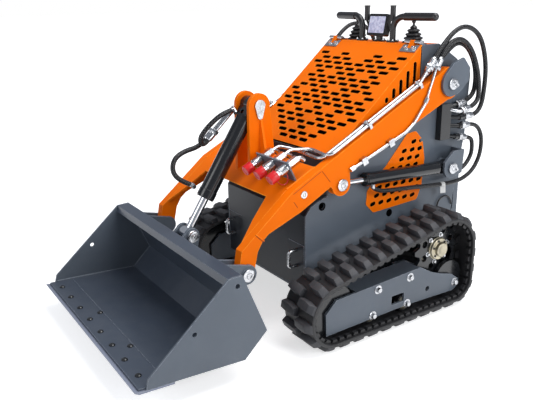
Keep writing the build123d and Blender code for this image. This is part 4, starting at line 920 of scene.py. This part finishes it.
# %% Sleeves and nuts
def sleeve(end, inward, radius):
    """A crimped ferrule and its nut, from a hose's end back along its fitting; the radius is in mm."""
    r = radius
    grooves = [(r + 0.9 + 0.8 * (k % 2), 3.0 * k) for k in range(10)]
    profile = mm([(0, -7), (r - 2.6, -7), (r - 1.6, -5), *grooves, (r + 0.4, 30), (0, 30)])
    nut = mm([(0, 31), (r + 4, 31), (r + 5, 32.5), (r + 5, 45), (r + 4, 46.5), (0, 46.5)])
    return joined([lathe(profile, end, inward, 24), lathe(nut, end, inward, 6)])


for node_name, (_, points, _) in routes.items():
    start, end = np.array(points[0]), np.array(points[-1])
    first, last = unit(np.subtract(points[0], points[1])), unit(np.subtract(points[-1], points[-2]))
    if node_name.startswith("arm"):
        add_piece(f"{node_name}_front_sleeve", [sleeve(start, first, 13)], "arms", zinc)
        add_piece(f"{node_name}_rear_sleeve", [sleeve(end, last, 13)], "chassis", zinc)
    elif node_name.startswith("lift"):
        add_piece(f"{node_name}_port_sleeve", [sleeve(start, first, 13)], "chassis", zinc)
        bend = [end - 9 * MM * last, end, end + 6 * MM * last, end + mm((0, -2, 15))]
        barrel = "lift_barrel_" + node_name.rsplit("_", 1)[1]
        add_piece(f"{node_name}_elbow", [closed_tube(bend, 8.5 * MM, 16)], barrel, zinc)
    else:
        add_piece(f"{node_name}_tube_sleeve", [sleeve(end, last, 11.5)], "arms", zinc)
        port = start + 22 * MM * unit((0.7, 0.5, -0.5))
        bend = [start - 8 * MM * first, start, start + 14 * MM * first, port]
        add_piece(f"{node_name}_port_elbow", [closed_tube(bend, 9.5 * MM, 16)], "tilt_barrel", zinc)

# %% Tube clamps
tube_way, tube_up = inclined(math.atan2(386.0, 773.0))
saddle = mm([(-24, -14), (24, -14), (24, 3), (18, 10), (-18, 10), (-24, 3)])
for side, sign in SIDES.items():
    tube_foot = np.array((sign * 0.335, -0.171, 0.615)) + 14 * MM * tube_up
    feet = [tube_foot + run * tube_way for run in (0.42, 0.72)]
    saddles = [extruded(saddle, (foot - 7 * MM * tube_way, (1, 0, 0), tube_up), -14 * MM) for foot in feet]
    add_piece(f"tube_saddles_{side}", saddles, "arms", zinc)
    heads = [bolt(foot + 10 * MM * tube_up, tube_up, 11.0) for foot in feet]
    add_piece(f"tube_saddle_bolts_{side}", heads, "arms", zinc)

# %% Couplers
coupler_in, coupler_up = inclined(math.atan2(65.5, 131.0))
coupler_out = -coupler_in
knurl = [(19.3 + 0.7 * (k % 2), 12 + 2 * k) for k in range(14)]
collar_profile = mm([(0, 6), (19, 6), (19, 11), *knurl, (19, 41), (17, 44.6), (0, 44.6)])
cap_profile = mm([
    (0, 57), (22, 57), (22, 62), (21.3, 63), (21.3, 88), (19, 92), (14, 92), (12.5, 90.2), (0, 90.2),
])
arc, bend = np.linspace(0, np.pi, 21), np.linspace(0, np.pi / 2, 9)
swing = np.outer(-np.cos(arc), 24 * coupler_out) + np.outer(np.sin(arc), (6, 0, 0) - 30 * coupler_up)
swing = mm(swing + 40 * coupler_out - 22 * coupler_up)
stem = np.outer(np.sin(bend), -24 * coupler_out) + np.outer(np.cos(bend) - 1, 24 * coupler_up)
stem = mm(stem - 50 * coupler_out)
collars, cap_ends, loops, elbows = [], [], [], []
for x in (0.118, 0.204, 0.290):
    place = np.array((x, -0.126, 0.6375)) + 60 * MM * coupler_up
    collars.append(lathe(collar_profile, place, coupler_out, 32))
    cap_ends.append(lathe(cap_profile, place, coupler_out, 32))
    loops.append(closed_tube(place + swing, 1.9 * MM, 10))
    elbows.append(closed_tube(place + stem, 9 * MM, 16))
add_piece("coupler_collars", collars, "arms", zinc)
add_piece("cap_ends", cap_ends, "arms", red_plastic)
add_piece("cap_loops", loops, "arms", red_plastic)
add_piece("coupler_elbows", elbows, "arms", zinc)

# %% [markdown]
# ## Welds and bucket fittings
# Where plates meet, a fillet weld leaves a row of overlapping ripples. A tube whose radius beats in step with
# its length, half buried in the seam, reads as that bead.

# %% Weld beads
def bead(start, end, radius=3.2, pitch=4.0):
    """A weld bead between places in mm: a thin tube whose radius swells once every pitch."""
    start, end = mm(start), mm(end)
    ripples = np.linalg.norm(end - start) / (pitch * MM)
    share = np.linspace(0, 1, max(int(ripples * 4), 8))
    swell = radius * MM * (0.86 + 0.14 * np.abs(np.sin(np.pi * share * ripples)))
    return closed_tube(start + share[:, None] * (end - start), swell, 8)


def side_beads(lines, **sizes):
    """Beads on both sides, from pairs of (x, y, z) places on the left one."""
    flipped = [np.multiply(lines, (sign, 1, 1)) for sign in SIDES.values()]
    return [bead(start, end, **sizes) for start, end in np.concatenate(flipped)]


arm_lines = [
    ((317, -176, 612.5), (317, -45, 678)), ((317, -31, 652), (317, -150, 590)),
    ((58, -174, 613.5), (58, -52, 674.5)), ((40, -174, 613.5), (40, -52, 674.5)),
]
ear_lines = [((357, -339, 477.5), (357, -306, 447))]
body_lines = [((302, 742, 1000), (302, 736, 948)), ((302, 743, 648), (302, 735, 545))]
bucket_lines = [
    ((497, -850, 116), (497, -490, 98)), ((497, -487, 100), (497, -405, 178)),
    ((497, -405, 180), (497, -497, 400)),
]
add_piece("arm_welds", side_beads(arm_lines) + side_beads(ear_lines, radius=2.2), "arms", orange)
add_piece("body_welds", side_beads(body_lines), "chassis", grey)
add_piece("bucket_welds", side_beads(bucket_lines), "bucket", grey)

# %% Bucket bolts
floor_run, floor_drop = 394.5, 19.2
floor_up = unit((0.0, floor_drop, floor_run))
dome_profile = mm([(0, -1), (12, -1), (11, 3), (7.5, 6), (0, 7)])
edge_bolts = [(x, -852) for x in range(-420, 421, 120)] + [(-96, -798), (220, -799)]
floor_front, floor_top = -884, 116.2
places = [(x, y, floor_top - (y - floor_front) * floor_drop / floor_run) for x, y in edge_bolts]
bolts = [lathe(dome_profile, mm(place), floor_up, 20) for place in places]
add_piece("bucket_floor_bolts", bolts, "bucket", black)
add_piece("wear_plate_weld", [bead((-490, -786, 111.2), (490, -786, 111.2), 2.4)], "bucket", shaded_bucket_grey)

# %% [markdown]
# ## Third loop on the left
# The tube on the left arm's flank climbs to a third hose, beside the pair on top. The frame has no part for
# it, so its tube end and its port are added here; its sleeves came with the others.

# %% Flank tube end and port
flank_end = mm([(367, 494, 892), (366, 506, 925), (360, 530, 966), (352, 555.3, 1011.9)])
add_piece("flank_tube_end", [closed_tube(flank_end, 5.5 * MM, 16)], "arms", zinc)
port_line = mm([(322, 684, 822), (338, 698, 818), (350, 712, 814), (352, 728, 816.4)])
add_piece("flank_port", [closed_tube(port_line, 9 * MM, 16)], "chassis", zinc)

# %% [markdown]
# ## Seams and small fittings
# The arm's rear half is a wider plate lapped over the front one, and the shadow along its edge is painted on
# as a thin dark orange line. A blank tag hangs from the lower hose, half a ring stands on the left side
# plate, and the plates behind the tie-down loops end in thin edges. Each body side has a bore with a dark rim
# and a plugged hole, and a plate lines the inner side of each track.

# %% Seams, with a painted shadow line
# A thin dark orange bead along the lapped plate's edge: painted shadow.
seam_shadow_orange = paint("seam shadow orange", (0.42, 0.050, 0.0004), (0.5, 0.1, 0.01), 0.6, 0.0, 0.0, 0.0)
seam_x, box_front = 356.8, -77.2
seam_ends = (-40, 670, 0, 621), (-172, 572, -154, 546), (-174, 601, -44, 668), (-343, 477, -310, 444)
arm_seam_shadows = [((seam_x, y, z), (seam_x, v, w)) for y, z, v, w in seam_ends]
box_corners = [(x, box_front, z) for x, z in ((184, 353), (293, 353), (293, 237))]
box_edges = list(zip(box_corners, box_corners[1:]))
add_piece("arm_seam_shadows", side_beads(arm_seam_shadows, radius=1.5, pitch=40.0), "arms", seam_shadow_orange)
add_piece("tie_down_plate_edges", side_beads(box_edges, radius=1.3, pitch=40.0), "chassis", grey)

# %% Tag and half ring
tag = mm([(629, 461), (663, 457), (659, 502), (654, 508), (631, 508), (626, 502)])
tag_plane = ((0.350, 0, 0), (0, 1, 0), (0, 0, 1))
add_piece("blank_tag", [extruded(tag, tag_plane, 1 * MM, 0.3 * MM)], "chassis", tag_white, smooth=False)
clip_profile = mm([(9, -11), (11, -11), (11, 11), (9, 11)])
add_piece("tag_clip", [lathe(clip_profile, mm((345, 642, 498.5)), (0, 1, -0.06), 24)], "chassis", tag_white)
arch = np.linspace(0, np.pi, 25)
ring_path = np.column_stack([np.full(25, 309), 706 + 46 * np.cos(arch), 378 + 46 * np.sin(arch)])
add_piece("side_half_ring", [closed_tube(mm(ring_path), 3.5 * MM, 12)], "chassis", hard_black)

# %% Side openings and track liners
rim = mm([(11.2, -0.5), (17, -0.5), (17, 0.6), (11.2, 0.6), (11.2, -0.5)])
plug = mm([(0, -0.5), (17, -0.5), (16, 0.8), (0, 0.8)])
for name, profile, y, z in (("side_bore_rims", rim, 5, 506), ("side_plugs", plug, 371, 408)):
    rounds = [lathe(profile, mm((sign * 302.2, y, z)), (sign, 0, 0), 32) for sign in SIDES.values()]
    add_piece(name, rounds, "chassis", near_black)
liner = [(70, 125), (600, 125), (640, 200), (640, 300), (420, 300), (70, 200)]
add_piece("track_liner_plates", side_plates(liner, 335, 2), "chassis", black, smooth=False)

# %% [markdown]
# ## Floor, light and background
# A studio sweep is a pale floor that runs out to a white background. The floor takes the machine's shadow
# from a large soft lamp overhead, one from the side and a faint one from the front, and adds a share of
# plain white for what the camera and reflections see, which grows with distance to meet the background
# without a line.

# %% Floor
floor_material, tree, surface = shader("studio floor")
rays = tree.nodes.new("ShaderNodeLightPath").outputs
seen = maths(tree, "MAXIMUM", rays["Is Camera Ray"], rays["Is Glossy Ray"])
seen = maths(tree, "MAXIMUM", seen, rays["Is Transmission Ray"])
from_middle = node(tree, "ShaderNodeVectorMath", {"operation": "LENGTH"}, input0=own_place(tree))
share = between_values(tree, ramp(tree, from_middle.outputs["Value"], 1.0, 6.0), 0.62, 1.1)
feed(
    surface,
    Base_Color=(0.80, 0.80, 0.80, 1.0),
    Roughness=0.9,
    Specular_IOR_Level=0.1,
    Emission_Color=(1.0, 1.0, 1.0, 1.0),
    Emission_Strength=maths(tree, "MULTIPLY", seen, share),
)
reach = 60.0
corners = [(-reach, -reach, 0), (reach, -reach, 0), (reach, reach, 0), (-reach, reach, 0)]
floor_mesh = bpy.data.meshes.new("floor")
floor_mesh.from_pydata(corners, [], [(0, 1, 2, 3)])
floor_mesh.materials.append(floor_material)
new_object("floor", floor_mesh)
print("floor", 2 * reach, "m square")

# %% Background and lamps
world = bpy.data.worlds.new("studio")
world.use_nodes = True
bpy.context.scene.world = world
rays = world.node_tree.nodes.new("ShaderNodeLightPath").outputs
seen = maths(world.node_tree, "MAXIMUM", rays["Is Camera Ray"], rays["Is Transmission Ray"])
sky = mixed(world.node_tree, seen, (0.30, 0.32, 0.36), (1.0, 1.0, 1.0))
feed(world.node_tree.nodes["Background"], Color=sky, Strength=1.0)


def softbox(name, place, aim, size, power):
    """A square area lamp at a place, facing a point."""
    lamp = bpy.data.lights.new(name, "AREA")
    lamp.size = size
    lamp.energy = power
    facing = unit(np.subtract(place, aim))
    new_object(name, lamp).matrix_world = placed(*across(facing), facing, place)


softbox("overhead", (0.8, 0.9, 4.2), (0.0, 0.0, 0.6), 3.0, 150.0)
softbox("side", (4.2, 0.9, 2.2), (0.0, 0.1, 0.5), 2.2, 95.0)
softbox("front", (0.4, -4.4, 2.6), (0.0, -0.2, 0.6), 2.0, 48.0)
